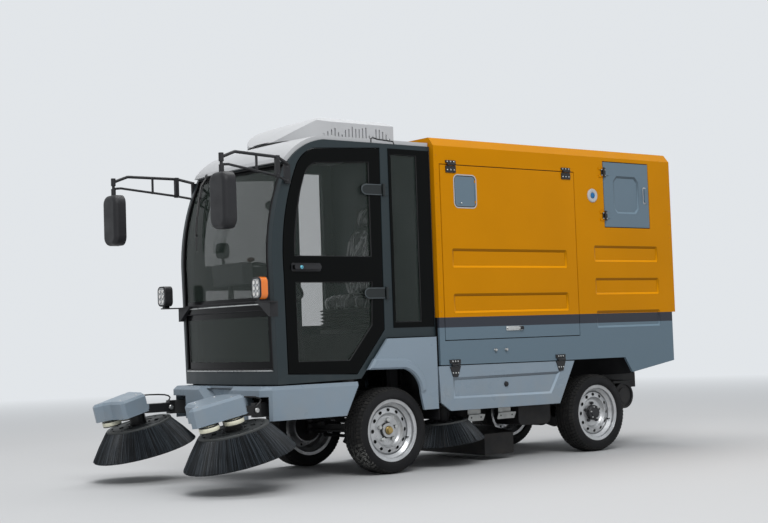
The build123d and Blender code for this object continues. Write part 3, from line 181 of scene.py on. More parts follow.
def painted(name, colour, roughness=0.36, coat=0.06, dust_top=0.75, dust=0.35, edge=0.003, gloss=0.30,
            tint=(1, 1, 1), dust_colour=(0.36, 0.32, 0.26)):
    """Sprayed paint: slight cloudiness, orange peel, softened edges and road dust low down."""
    made = Finish(name, colour, roughness, coat=coat, gloss=gloss).set("Specular Tint", (*tint, 1))
    cloudy = made.clouds(colour, toned(colour, 0.94), 2.5, 3.0, 0.3)
    patches = made.ramp(made.noise(9.0, 6.0), 0.42, 0.75)
    low = made.ramp(made.axis("Z"), dust_top, 0.15, 0.0, dust)
    dusty = made.mix(made.math("MULTIPLY", patches, low), cloudy, dust_colour)
    return made.dress(dusty, (6.0, roughness - 0.05, roughness + 0.10), (420.0, 1.0, 0.04, 0.0006), edge)


def striped(name):
    """The box's side: yellow above, a dark band, and blue-grey below, split by height."""
    made = painted(name, YELLOW, dust_top=0.8, dust=0.2, coat=0.0, gloss=0.14, tint=(1.0, 0.66, 0.20))
    height = made.axis("Z")
    for border, colour in ((band_high, BAND), (band_low, BLUE_GREY)):
        made.under(height, border, colour, 2 * EDGE)
    return made


def moulded(name, colour, roughness=0.5, grain=900.0, strength=0.12, edge=0.002, gloss=0.30):
    """Moulded plastic or rubber with a fine grain."""
    made = Finish(name, colour, roughness, gloss=gloss)
    return made.dress(made.clouds(colour, toned(colour, 1.25, 0.004), 5.0),
                      (12.0, roughness - 0.06, roughness + 0.08), (grain, 2.0, strength, 0.0008), edge)


def metal(name, colour, roughness=0.35, metallic=1.0):
    made = Finish(name, colour, roughness, metallic=metallic)
    return made.dress(made.clouds(colour, toned(colour, 0.78), 14.0, 5.0),
                      (30.0, roughness - 0.08, roughness + 0.12), (240.0, 2.0, 0.05, 0.0005), 0.002)


def polished(name, colour, roughness, metallic=0.0, coat=0.0, gloss=0.5, shade=0.08, smear=0.05):
    """Smooth lacquer, lens or plating with faint smears and a slightly uneven tone."""
    made = Finish(name, colour, roughness, metallic, coat, gloss)
    return made.dress(made.clouds(colour, toned(colour, 1 - shade), 7.0),
                      (16.0, roughness, roughness + smear), (60.0, 2.0, 0.02, 0.0004))


def shade_painted_inside(made, half, rear=None):
    """Painted shade: black on the faces nearer the middle than a distance, and in front of a station."""
    split = made.node("SeparateXYZ", made.point())
    inside = made.ramp(made.math("ABSOLUTE", split.outputs["Y"]), half + EDGE, half - EDGE)
    if rear is not None:
        inside = made.math("MULTIPLY", inside, made.ramp(split.outputs["X"], rear - EDGE, rear + EDGE))
    return made.over(inside, (0.010, 0.010, 0.011))


def painted_light_by_facing(made):
    """The ledges' paint with painted light and shade: darker where a face looks down, lighter where it looks
    up.
    """
    tone = made.ramp(made.axis("Z", made.point("Normal")), -0.30, 0.30, 0.50, 1.50)
    present = made.shader.inputs["Base Color"].links[0].from_socket
    return made.set("Base Color", made.vector_math("SCALE", present, output="Vector", Scale=tone))


YELLOW = (0.63, 0.245, 0.0015)
BAND = (0.045, 0.052, 0.068)
BLUE_GREY = (0.140, 0.200, 0.250)
PALE_GREY = (0.250, 0.314, 0.376)

painted("yellow_paint", YELLOW, coat=0.0, gloss=0.13, tint=(1.0, 0.60, 0.10))
striped("side_paint")
# The lower body here and the fenders below get painted shade: black on their inner faces
shade_painted_inside(striped("lower_paint"), 0.588, front_axle_x - 2.790)
painted("slate_paint", (0.019, 0.030, 0.035), 0.40, dust=0.2)
painted("body_paint", BLUE_GREY)
painted("pale_paint", PALE_GREY, 0.30)
shade_painted_inside(painted("fender_paint", PALE_GREY, 0.30), 0.580)
painted("cap_paint", (0.505, 0.510, 0.520), 0.38, dust=0.0)
painted("chassis_paint", (0.011, 0.011, 0.012), 0.55, 0.0, dust=0.5, dust_colour=(0.040, 0.036, 0.031))
painted("black_metal", (0.012, 0.012, 0.013), 0.4, 0.2, dust=0.0)
painted("hinge_grey", (0.014, 0.018, 0.019), 0.4, dust=0.0, edge=0.002)
painted("rivet_yellow", (0.52, 0.20, 0.004), 0.4, dust=0.0, edge=0.0)
painted("filler_blue", (0.02, 0.17, 0.42), 0.35, dust=0.0)
# Ledge paints with painted shade on faces that look down and a painted highlight on faces that look up
painted_light_by_facing(striped("ledge_paint"))
painted_light_by_facing(painted("panel_ledge_paint", PALE_GREY, 0.30))
painted_light_by_facing(painted("door_ledge_paint", BLUE_GREY))

moulded("tyre_rubber", (0.010, 0.010, 0.011), 0.72, 500.0, 0.2, 0.0, 0.2)
moulded("tread_rubber", (0.015, 0.015, 0.015), 0.75, 500.0, 0.2, 0.0, 0.2)
moulded("black_plastic", (0.016, 0.016, 0.018), 0.46)
moulded("bristle_dark", (0.004, 0.005, 0.006), 0.55, 300.0, edge=0.0)
moulded("bristle_mid", (0.014, 0.018, 0.022), 0.50, 300.0, edge=0.0)
moulded("bristle_light", (0.045, 0.056, 0.068), 0.45, 300.0, edge=0.0)
moulded("cream_roller", (0.74, 0.72, 0.57))
moulded("seat_vinyl", (0.014, 0.014, 0.015), 0.42, 700.0, 0.2)
moulded("floor_mat", (0.03, 0.03, 0.032), 0.8)
moulded("seal_rubber", (0.010, 0.010, 0.011), 0.62, edge=0.0)
moulded("plate_rim", (0.058, 0.062, 0.062), 0.55)
moulded("hole_shade", (0.004, 0.004, 0.004), 0.8, gloss=0.1)
moulded("wall_lining", (0.11, 0.12, 0.125), 0.75, 350.0, 0.05)
moulded("arch_black", (0.006, 0.006, 0.007), 0.85, gloss=0.15)
moulded("knob_brown", (0.30, 0.075, 0.045), 0.45)

metal("rim_silver", (0.56, 0.57, 0.58), 0.34, 0.75)
metal("galvanised", (0.42, 0.43, 0.42), 0.5)
metal("bright_steel", (0.55, 0.55, 0.54), 0.3)
metal("brass_cap", (0.50, 0.36, 0.14))
metal("dark_steel", (0.045, 0.045, 0.048), 0.5, 0.6)
metal("bright_trim", (0.62, 0.63, 0.62), 0.28)
metal("lock_cyan", (0.16, 0.52, 0.66), 0.3, 0.5)

polished("door_black", (0.0025, 0.003, 0.003), 0.16, gloss=0.07)
polished("gloss_black", (0.003, 0.003, 0.0035), 0.14, gloss=0.12)
polished("red_lens", (0.42, 0.008, 0.006), 0.15, coat=0.6)
polished("orange_lens", (0.85, 0.20, 0.01), 0.18, coat=0.6)
polished("lamp_face", (0.62, 0.63, 0.63), 0.12, coat=0.8)
polished("lamp_cell", (0.93, 0.90, 0.87), 0.08, coat=1.0)
polished("lamp_ring", (0.22, 0.23, 0.24), 0.20, 0.6)
polished("hinge_rim", (0.10, 0.12, 0.13), 0.35, 0.3)
polished("mirror_silver", (0.75, 0.77, 0.78), 0.02, 1.0, shade=0.03, smear=0.03)
polished("dial_face", (0.05, 0.05, 0.055), 0.12, coat=0.6)


def make_glass(alpha=0.17):
    """Pane that lets light through, and reflects more at a grazing angle."""
    made = Finish("window_glass", (0.045, 0.062, 0.052), 0.03, gloss=0.6)
    weight = made.node("LayerWeight", Blend=0.35)
    made.set("Alpha", made.ramp(weight.outputs["Fresnel"], 0.0, 1.0, alpha, 0.8))
    made.material.surface_render_method = "BLENDED"


def make_seat_film():
    """Black vinyl under loose clear film: creases bumped into its coat, and painted highlights whitening the
    colour along them.
    """
    made = Finish("seat_film", (0.014, 0.014, 0.015), 0.42, coat=1.0).set("Coat Roughness", 0.09)
    made.bump(made.noise(700.0, 2.0), 0.15, 0.0006)
    stretch = made.node("Mapping", made.point(), Rotation=(0.25, -0.35, 0.0), Scale=(1.0, 1.0, 0.32))
    folds = made.node("TexNoise", stretch.outputs["Vector"], Scale=9.0, Detail=2.5, Distortion=1.4)
    ridge = made.math("ABSOLUTE", made.math("SUBTRACT", folds.outputs["Fac"], 0.5))
    made.bump(made.ramp(ridge, 0.0, 0.10), 0.9, 0.012, target="Coat Normal")
    # Painted highlight: the colour goes whitish along the crease ridges
    crease_highlight = made.ramp(ridge, 0.028, 0.0, 0.0, 0.85)
    made.set("Base Color", made.mix(crease_highlight, (0.016, 0.016, 0.017), (0.70, 0.71, 0.72)))


brush_places = {
    # station, distance outwards, height, nose-down pitch in degrees, scale and strands
    "front": (1.256, 0.609, 0.374, 13.6, 1.0, 2700),
    "middle": (-0.600, 0.372, 0.300, 6.0, 0.8, 1800),
}


def split_along(made, point, pitch, offset, colour):
    """A second colour below a plane, which leans forward and passes near a point."""
    up = Vector((sin(radians(pitch)), 0, cos(radians(pitch))))
    return made.under(made.vector_math("DOT_PRODUCT", made.point(), up), point.dot(up) + offset, colour)


def make_brush_finishes():
    """Plates grey on top with dark skirts, and pale covers with a black fork and motor."""
    for name, (x, y, z, pitch, _, _) in brush_places.items():
        split_along(moulded(f"{name}_brush", (0.026, 0.029, 0.030), 0.6), at(x, y, z), pitch, -0.0068,
                    (0.004, 0.005, 0.006))
    x, _, z, pitch, _, _ = brush_places["front"]
    fork_black = (0.012, 0.012, 0.013)
    head = painted("brush_head_paint", PALE_GREY)
    head.under(head.vector_math("DOT_PRODUCT", head.point(), X), front_axle_x + 1.235, fork_black)
    split_along(head, at(x, 0, z), pitch, 0.0995, fork_black)


def muddy_tread():
    """Road dust on the tread, and dried mud low on the front left tyre's shoulder."""
    made = finishes["tread_rubber"]
    made.over(made.ramp(made.noise(30.0, 5.0), 0.50, 0.72, 0.0, 0.35), (0.060, 0.056, 0.050))
    away = made.vector_math("DISTANCE", made.point(), at(0.225, wheel_y + 0.045, 0.120))
    flakes = made.ramp(made.noise(55.0, 6.0), 0.47, 0.53, 0.0, 0.9)
    made.over(made.math("MULTIPLY", made.ramp(away, 0.125, 0.030), flakes), (0.20, 0.20, 0.19))


make_glass()
make_seat_film()
make_brush_finishes()
muddy_tread()

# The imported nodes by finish; * stands for left and right
node_finishes = {
    "chassis_paint": "chassis_frame front_axle rear_axle tool_boxes brush_brackets middle_brush_brackets "
                     "suction_nozzle tie_rod underbody_units knuckle_*",
    "black_plastic": "battery_pack seat_base dashboard headlamps mirrors steering_wheel",
    "slate_paint": "cab_frame", "floor_mat": "cab_floor", "cap_paint": "cab_roof air_conditioner",
    "window_glass": "cab_glass cab_door_glass_*", "pale_paint": "front_bumper tool_panel_*",
    "fender_paint": "front_fenders", "lower_paint": "lower_body", "yellow_paint": "box_upper tail_door",
    "galvanised": "debris_bin fan_unit", "seat_vinyl": "seat", "red_lens": "rear_lamps",
    "body_paint": "service_door hatch_lid", "door_black": "cab_door_*", "side_paint": "side_door_*",
    "black_metal": "brush_arm_*", "brush_head_paint": "brush_head_*", "front_brush": "brush_front_*",
    "middle_brush": "brush_middle_*", "tyre_rubber": "tyre_front_* tyre_rear_*",
    "rim_silver": "rim_front_* rim_rear_*",
}
for finish_name, patterns in node_finishes.items():
    for node_name in {pattern.replace("*", hand) for pattern in patterns.split() for hand, _ in SIDES}:
        node_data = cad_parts[node_name].data
        node_data.materials.clear()
        node_data.materials.append(finishes[finish_name].material)


# Shape building: one mesh gathers simple forms, and then rides on its body
BLOCK = ((0, 1, 3, 2), (4, 6, 7, 5), (0, 4, 5, 1), (2, 3, 7, 6), (0, 2, 6, 4), (1, 5, 7, 3))


def band_faces(count, first, second, closed=True):
    """Faces between two rows of points, which start at two numbers."""
    return [(first + i, first + (i + 1) % count, second + (i + 1) % count, second + i)
            for i in range(count if closed else count - 1)]


class Shape:
    """A mesh gathered from boxes, prisms, turned profiles and tubes."""

    def __init__(self):
        self.mesh = bmesh.new()

    def add(self, points, faces):
        verts = [self.mesh.verts.new(point) for point in points]
        for face in faces:
            self.mesh.faces.new([verts[i] for i in face])
        return self

    def box(self, first, second):
        xs, ys, zs = (sorted(pair) for pair in zip(first, second))
        return self.add([(x, y, z) for x in xs for y in ys for z in zs], BLOCK)

    def prism(self, outline, place, depth):
        """A flat outline given a depth; place turns (u, v, depth) into a point."""
        count = len(outline)
        points = [place(u, v, d) for d in (0, depth) for u, v in outline]
        return self.add(points, [tuple(range(count)), tuple(range(count, 2 * count)),
                                 *band_faces(count, 0, count)])

    def ring(self, outer, inner, place, depth, closed=True):
        """A flat frame between two outlines that have as many points."""
        n = len(outer)
        faces = [face for a, b in ((0, n), (2 * n, 3 * n), (0, 2 * n), (n, 3 * n))
                 for face in band_faces(n, a, b, closed)]
        if not closed:
            faces += [(i, n + i, 3 * n + i, 2 * n + i) for i in (0, n - 1)]
        points = [place(u, v, d) for d in (0, depth) for outline in (outer, inner) for u, v in outline]
        return self.add(points, faces)

    def turned(self, profile, origin, axis, segments=48):
        """(radius, height) pairs revolved about the axis through the origin."""
        axis = Vector(axis).normalized()
        side = axis.orthogonal().normalized()
        turn = circle(Vector(), side, axis.cross(side), 1, segments)
        points = [Vector(origin) + axis * height + way * radius for radius, height in profile for way in turn]
        return self.add(points, [face for r in range(len(profile) - 1)
                                 for face in band_faces(segments, r * segments, (r + 1) * segments)])

    def tube(self, path, radius, segments=8, closed=False):
        """A round bar along a path; radius is one value or one for each point."""
        path = [Vector(point) for point in path]
        count = len(path)
        radii = radius if isinstance(radius, (list, tuple)) else [radius] * count
        normal = None
        points = []
        for i, point in enumerate(path):
            before = path[i - 1] if i or closed else point
            after = path[(i + 1) % count] if i < count - 1 or closed else point
            along = (after - before).normalized()
            normal = normal or along.orthogonal()
            normal = (normal - along * normal.dot(along)).normalized()
            points += circle(point, normal, along.cross(normal), radii[i], segments)
        faces = [face for i in range(count if closed else count - 1)
                 for face in band_faces(segments, i * segments, (i + 1) % count * segments)]
        if not closed:
            faces += [tuple(range(segments)), tuple(range((count - 1) * segments, count * segments))]
        return self.add(points, faces)

    def loop(self, outline, place, radius, segments=8, closed=True):
        """A thin bar along an outline on a plane."""
        return self.tube([place(u, v, 0) for u, v in outline], radius, segments, closed)

    def drum(self, point, axis, radius, half):
        return self.turned([(0.0, -half), (radius, -half), (radius, half), (0.0, half)], point, axis, 20)

    def dome(self, point, normal, radius, height=None):
        """A low round screw or rivet head on a surface."""
        height = height or radius * 0.55
        return self.turned([(radius, 0.0), (radius * 0.94, height * 0.45), (radius * 0.66, height * 0.85),
                            (0.0, height)], point, normal, 12)

    def nut(self, point, axis, across, height):
        """A six-sided nut with a domed end."""
        radius = across / 2 / cos(radians(30))
        return self.turned([(radius, 0.0), (radius, height * 0.8), (radius * 0.8, height), (0.0, height)],
                           point, axis, 6)

    def done(self, name, finish, body="chassis", bevel=0.0, smooth=35, segments=2):
        """Close the mesh, give it its finish and let it ride on its body."""
        bmesh.ops.remove_doubles(self.mesh, verts=self.mesh.verts, dist=1e-6)
        bmesh.ops.recalc_face_normals(self.mesh, faces=self.mesh.faces)
        piece = new_piece(name, self.mesh)
        piece.data.shade_smooth()
        piece.data.set_sharp_from_angle(angle=radians(smooth))
        piece.data.materials.append(finishes[finish].material)
        if bevel:
            modifier = piece.modifiers.new("edges", "BEVEL")
            modifier.width, modifier.segments = bevel, segments
            modifier.limit_method, modifier.angle_limit = "ANGLE", radians(40)
            modifier.harden_normals = True
        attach(piece, body)
        return piece


def new_piece(name, mesh):
    """An object from a gathered mesh."""
    data = bpy.data.meshes.new(name)
    mesh.to_mesh(data)
    mesh.free()
    return linked(bpy.data.objects.new(name, data))


def linked(piece):
    bpy.context.scene.collection.objects.link(piece)
    return piece


def circle(centre, u, v, radius, count, phase=0.0):
    """Points round a centre in the plane of two directions; phase is in degrees."""
    angles = [radians(phase) + 2 * pi * k / count for k in range(count)]
    return [centre + (u * cos(angle) + v * sin(angle)) * radius for angle in angles]


def on_side(side, y):
    """Places an outline (station, height) on an upright side plane, deeper outwards."""
    return lambda u, v, depth: at(u, side * (y + depth), v)


def on_front(x, side=1):
    """Places an outline (outboard, height) on an upright plane across, deeper forwards."""
    return lambda u, v, depth: at(x + depth, side * u, v)


def on_rear(x, side=1):
    """Places an outline (outboard, height) on an upright plane across, deeper rearwards."""
    return lambda u, v, depth: at(x - depth, side * u, v)


def across_from(y):
    """Places an outline (station, height) on an upright plane, deeper to the left."""
    return lambda u, v, depth: at(u, depth + y, v)


def rounded(x0, x1, y0, y1, radius, steps=5):
    """Points of a rectangle with round corners."""
    points = []
    for cx, cy, start in ((x1 - radius, y1 - radius, 0), (x0 + radius, y1 - radius, 90),
                          (x0 + radius, y0 + radius, 180), (x1 - radius, y0 + radius, 270)):
        for k in range(steps + 1):
            angle = radians(start + 90 * k / steps)
            points.append((cx + radius * cos(angle), cy + radius * sin(angle)))
    return points


def centred(x, y, half_x, half_y, radius, steps=5):
    return rounded(x - half_x, x + half_x, y - half_y, y + half_y, radius, steps)


def spread(outline, spacing=0.03, steps=None):
    """The outline with points added along its edges, at a spacing or so many to an edge."""
    points = []
    for (ax, ay), (bx, by) in zip(outline, outline[1:] + outline[:1]):
        count = steps or max(1, round(hypot(bx - ax, by - ay) / spacing))
        points += [(ax + (bx - ax) * k / count, ay + (by - ay) * k / count) for k in range(count)]
    return points


def rectangle(x0, x1, y0, y1):
    return [(x0, y0), (x1, y0), (x1, y1), (x0, y1)]


def seam(outer_box, corner, width, inner_corner, place, depth, name, body="chassis", steps=2):
    """A rubber seal in the gap round a door, inside the door's outline."""
    x0, x1, y0, y1 = outer_box
    Shape().ring(rounded(x0, x1, y0, y1, corner, steps),
                 rounded(x0 + width, x1 - width, y0 + width, y1 - width, inner_corner, steps),
                 place, depth).done(name, "seal_rubber", body)


# Cab front: a side profile turned about a far upright axis carries borders, trims and the wiper
front_bulge = 0.045
plan_radius = (cab_half**2 + front_bulge**2) / (2 * front_bulge)
turn_x = 0.918 + front_bulge - plan_radius
arc_x, arc_z, arc_radius = -0.4153, 1.4303, 1.3803
foot_x, foot_z, shoulder_z = 0.947, 0.634, 1.440
screen_half = 0.535
screen_low, screen_high = 1.162, 2.040
pane_low, pane_high = 0.730, 1.106


def front_point(y, z, out=0.0):
    """A point on the cab's curved front, moved out by a small distance."""
    foremost = arc_x + (arc_radius**2 - (z - arc_z) ** 2) ** 0.5
    if z < shoulder_z:
        foremost = foot_x + 0.018 * (z - foot_z) / (shoulder_z - foot_z)
    return at(turn_x + ((foremost - turn_x) ** 2 - y**2) ** 0.5 + out, y, z)


def front_strip(shape, outer, inner, out):
    """A thin band between two outlines on the curved front."""
    shape.add([front_point(y, z, out) for y, z in outer + inner], band_faces(len(outer), 0, len(outer)))


def make_cab_front():
    border, bar, trims, seals = Shape(), Shape(), Shape(), Shape()
    for low, high, band, foot in ((screen_low, screen_high, 0.030, 0.028),
                                  (pane_low, pane_high, 0.040, 0.050)):
        outer = rectangle(-screen_half - 0.004, screen_half + 0.004, low - 0.004, high + 0.004)
        inner = rectangle(band - screen_half, screen_half - band, low + foot, high - band)
        front_strip(border, spread(outer, steps=24), spread(inner, steps=24), -0.0105)
        edge = spread(rectangle(-screen_half, screen_half, low, high), steps=20)
        seals.tube([front_point(y, z, -0.004) for y, z in edge], 0.006, closed=True)
    outer = rectangle(-screen_half - 0.002, screen_half + 0.002, pane_high - 0.003, screen_low + 0.003)
    outer = spread(outer, steps=24)
    front_strip(bar, outer, [(y, (pane_high + screen_low) / 2) for y, z in outer], 0.0012)
    for height, reach in ((1.144, 0.520), (0.722, 0.536)):
        trims.tube([front_point(-reach + 2 * reach * k / 30, height, 0.002) for k in range(31)], 0.0045)
    border.done("screen_borders", "gloss_black")
    bar.done("middle_bar_cover", "gloss_black")
    trims.done("front_trims", "bright_trim")
    seals.done("screen_seals", "seal_rubber")


def make_wiper():
    wiper = Shape()
    wiper.turned([(0.0, 0.028), (0.016, 0.026), (0.020, 0.018), (0.020, -0.012)],
                 front_point(-0.352, 2.044, 0.006), (1, 0, 0.35), 20)
    arm = ((-0.352, 2.044, 0.026), (-0.346, 1.98, 0.045), (-0.325, 1.86, 0.036), (-0.310, 1.76, 0.026))
    wiper.tube([front_point(*place) for place in arm], [0.008, 0.007, 0.0055, 0.005])
    blade = [front_point(-0.385 + 0.108 * k / 12, 2.000 - 0.465 * k / 12, 0.013) for k in range(13)]
    wiper.tube(blade, 0.0055, 6)
    spine = [front_point(-0.355 + 0.060 * k / 6, 1.90 - 0.26 * k / 6, 0.022) for k in range(7)]
    wiper.tube(spine, 0.004, 6)
    for foot in (spine[0], spine[6]):
        wiper.box(foot - Vector((0.014, 0.006, 0.006)), foot + Vector((0.004, 0.006, 0.006)))
    wiper.done("wiper", "black_metal")


# Cab doors: gaskets round the panes, hinge leaves and a lock
door_panes = (
    [(0.132, 1.443), (0.132, 2.078), (0.560, 2.054), (0.610, 2.033), (0.650, 1.985), (0.688, 1.870),
     (0.716, 1.740), (0.737, 1.600), (0.749, 1.443)],
    [(0.749, 1.280), (0.132, 1.280), (0.144, 0.990), (0.337, 0.763), (0.742, 0.770)],
)


def bullet(x_root, x_tip, z, half):
    """Outline of a hinge leaf with a round tip."""
    bend = half * 1.25
    tip = [(x_tip - bend + bend * sin(radians(9 * k)), z - half * cos(radians(9 * k))) for k in range(1, 20)]
    return [(x_root, z - half), (x_tip - bend, z - half), *tip, (x_tip - bend, z + half), (x_root, z + half)]


def dress_cab_doors():
    for hand, side in SIDES:
        body = f"cab_door_{hand}"
        gaskets, leaves, rims, sleeves = Shape(), Shape(), Shape(), Shape()
        for outline in door_panes:
            gaskets.loop(spread(outline), on_side(side, cab_half - 0.006), 0.0055)
        for z in (1.892, 1.202):
            leaves.prism(bullet(0.036, 0.208, z, 0.038), on_side(side, cab_half + 0.0005), 0.0085)
            rims.loop(bullet(0.040, 0.203, z, 0.033), on_side(side, cab_half + 0.0092), 0.0026, 6,
                      closed=False)
            sleeves.drum(at(0.022, side * (cab_half + 0.012), z), Z, 0.010, 0.041)
        gaskets.done(f"door_gaskets_{hand}", "seal_rubber", body)
        leaves.done(f"door_hinge_leaves_{hand}", "hinge_grey", body, bevel=0.002)
        rims.done(f"door_hinge_rims_{hand}", "hinge_rim", body)
        sleeves.done(f"door_hinge_sleeves_{hand}", "hinge_grey", bevel=0.0012)
        Shape().turned([(0.0, 0.006), (0.0085, 0.006), (0.0115, 0.004), (0.0125, 0.0)],
                       at(0.713, side * (cab_half + 0.0240), 1.372), Y * side, 24).done(
            f"door_lock_{hand}", "lock_cyan", body)
        keyway = Shape().box(at(0.711, side * (cab_half + 0.0298), 1.367),
                             at(0.715, side * (cab_half + 0.0306), 1.377))
        keyway.done(f"door_keyway_{hand}", "black_plastic", body)
        catch = Shape().prism(rounded(0.548, 0.776, 1.346, 1.400, 0.012), on_side(side, cab_half), 0.0030)
        catch.prism(rounded(0.558, 0.766, 1.358, 1.389, 0.013), on_side(side, cab_half + 0.0236), 0.0026)
        catch.done(f"door_handle_plate_{hand}", "black_plastic", body, bevel=0.0010)


def make_quarter_windows():
    inner = rectangle(-0.275, -0.052, 1.005, 2.140)
    for hand, side in SIDES:
        panel = Shape().ring(rectangle(-0.386, -0.030, 0.969, 2.176), inner,
                             on_side(side, cab_half - 0.0005), 0.0045)
        panel.done(f"quarter_panel_{hand}", "door_black", bevel=0.0015)
        Shape().loop(spread(inner, 0.05), on_side(side, cab_half - 0.003), 0.005).done(
            f"quarter_gasket_{hand}", "seal_rubber")


# Headlamps: six clear cells in a pale face, with an orange wrap on the outer side
def dress_headlamps():
    face_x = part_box("headlamps")[1].x - front_axle_x
    y, z = 0.604, 1.240
    cell = [(0.0135, 0.0), (0.0135, 0.0022), (0.0105, 0.0022), (0.008, 0.0008), (0.0, 0.0004)]
    rim = [(0.0138, 0.0), (0.0138, 0.0030), (0.0160, 0.0030), (0.0172, 0.0)]
    outer = [p for p in centred(y, z, 0.0545, 0.0695, 0.035, 8) if p[0] > y - 0.012]
    outer.sort(key=lambda p: atan2(p[1] - z, p[0] - y))
    inner = [(y + (v - y) * 0.93, z + (w - z) * 0.93) for v, w in outer]
    for hand, side in SIDES:
        Shape().prism(centred(y, z, 0.043, 0.058, 0.024), on_front(face_x - 0.0048, side), 0.0025).done(
            f"lamp_face_{hand}", "lamp_face", bevel=0.001)
        cells, rings = Shape(), Shape()
        for shape, profile in ((cells, cell), (rings, rim)):
            for dy in (-0.020, 0.020):
                for dz in (-0.036, 0.0, 0.036):
                    shape.turned(profile, at(face_x - 0.0022, side * (y + dy), z + dz), X, 20)
        cells.done(f"lamp_cells_{hand}", "lamp_cell")
        rings.done(f"lamp_rings_{hand}", "lamp_ring")
        Shape().ring(outer, inner, on_front(face_x - 0.056, side), 0.048, closed=False).done(
            f"lamp_orange_{hand}", "orange_lens", bevel=0.0015)


# Mirrors: reflecting faces on the rear of the shells, clamps and bolts
def dress_mirrors():
    x, y = 1.353, 0.711
    for hand, side in SIDES:
        Shape().prism(centred(y, 1.767, 0.078, 0.155, 0.045), on_front(x - 0.042, side), -0.0025).done(
            f"mirror_glass_{hand}", "mirror_silver", bevel=0.001)
        clamps, bolts = Shape(), Shape()
        for z in (2.030, 1.958):
            clamps.drum(at(x, side * y, z), Z, 0.016, 0.026)
        for z in (1.925, 2.009):
            bolts.dome(at(0.793, side * (cab_half + 0.0165), z), Y * side, 0.007)
        for dz in (-0.050, 0.050):
            bolts.dome(at(0.903, side * 0.6525, 2.002 + dz), Y * side, 0.006)
        clamps.done(f"mirror_clamps_{hand}", "black_plastic", bevel=0.001)
        bolts.done(f"mirror_bolts_{hand}", "dark_steel")


# Roof: a joint line round the housing, its screws, and a bent rod behind it
def dress_roof():
    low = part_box("air_conditioner")[0]
    rear, half = low.x - front_axle_x, 0.400
    bow = [(0.300 + 0.310 * sin(radians(a)), half * cos(radians(a))) for a in range(6, 180, 6)]
    outline = [(rear, -half), (rear, half), (0.300, half), *bow, (0.300, -half)]
    path = [at(x, y * 1.003, low.z + 0.003) for x, y in spread(outline, 0.05)]
    Shape().tube(path, 0.0045, 6, closed=True).done("housing_joint", "seal_rubber")
    screws = Shape()
    for _, side in SIDES:
        for x in (-0.18, 0.06, 0.30):
            screws.dome(at(x, side * 0.4002, low.z + 0.030), Y * side, 0.006)
    screws.done("housing_screws", "bright_steel")


def make_roof_rod():
    path = ((0.096, 2.212), (0.094, 2.238), (0.080, 2.245), (0.040, 2.236), (-0.040, 2.231), (-0.092, 2.228),
            (-0.099, 2.210))
    Shape().tube([at(x, 0.560, z) for x, z in path], 0.0048).done("roof_rod", "black_metal")


# Hinges of the box, the tool panels and the tail
def dress_hinge(name, pin, along, leaf, out, width, moving_reach, fixed_reach, body, tip=1.0, screws=3):
    """Black leaves and a sleeve over one hinge; the pin stands 12 mm off the panel."""
    base, top, near = -0.0118, -0.0046, 0.0098
    half = width / 2

    def place(u, v, d):
        return pin + along * u + leaf * v + out * (base + d)

    moving = [(-half, near), (half, near), (half * tip, moving_reach), (-half * tip, moving_reach)]
    Shape().prism(moving, place, top - base).done(f"{name}_leaf", "black_metal", body, bevel=0.0012)
    fixed = Shape().prism(rectangle(-half, half, -near, -fixed_reach), place, top - base)
    fixed.drum(pin, along, 0.0088, 0.0375).done(f"{name}_plate", "black_metal", bevel=0.0012)
    for part, reach, carrier in (("outer", moving_reach, body), ("inner", -fixed_reach, "chassis")):
        heads = Shape()
        spread_half = half * (0.66 if reach > 0 and tip == 1.0 else 0.66 * (1 + (tip - 1) * 0.5))
        for k in range(screws):
            heads.dome(place(spread_half * (2 * k / (screws - 1) - 1), reach * 0.66, top - base), out, 0.0058)
        heads.done(f"{name}_screws_{part}", "bright_trim", carrier)


def dress_box():
    knob = [(0.0, 0.019), (0.008, 0.018), (0.0115, 0.013), (0.0115, 0.007), (0.006, 0.004), (0.009, 0.0)]
    for hand, side in SIDES:
        door, out = f"side_door_{hand}", Y * side
        for number, x in enumerate((-0.553, -1.676)):
            dress_hinge(f"box_hinge_{hand}_{number}", at(x, side * hinge_pin_y, 2.089), X, -Z, out,
                        0.092, 0.058, 0.028, door)
        seam((-1.766, -0.452, 0.868, 2.091), 0.006, 0.008, 0.006, on_side(side, box_half - 0.022), 0.010,
             f"side_door_seal_{hand}")
        # Latch: a silver lever with a dark end on the lower edge
        latch = Shape().prism(rounded(-1.179, -1.018, 0.925, 0.957, 0.010), on_side(side, box_half), 0.006)
        latch.prism(rounded(-1.150, -1.026, 0.934, 0.950, 0.006), on_side(side, box_half + 0.006), 0.010)
        latch.done(f"side_latch_{hand}", "bright_trim", door, bevel=0.0015)
        grip = rounded(-1.181, -1.146, 0.929, 0.954, 0.008)
        Shape().prism(grip, on_side(side, box_half + 0.0055), 0.012).done(
            f"side_latch_grip_{hand}", "black_plastic", door, bevel=0.002)
        # Two chrome knobs under the door, and rivets along the corners
        knobs, rivets = Shape(), Shape()
        for x in (-0.908, -1.010):
            knobs.turned(knob, at(x, side * box_half, 0.792), out, 20)
        for x, low, step, count, radius in ((-2.812, 1.09, 0.105, 11, 0.0048),
                                            (-0.425, 1.07, 0.098, 12, 0.0042)):
            for k in range(count):
                rivets.dome(at(x, side * box_half, low + step * k), out, radius)
        knobs.done(f"side_knobs_{hand}", "bright_steel")
        rivets.done(f"corner_rivets_{hand}", "rivet_yellow")


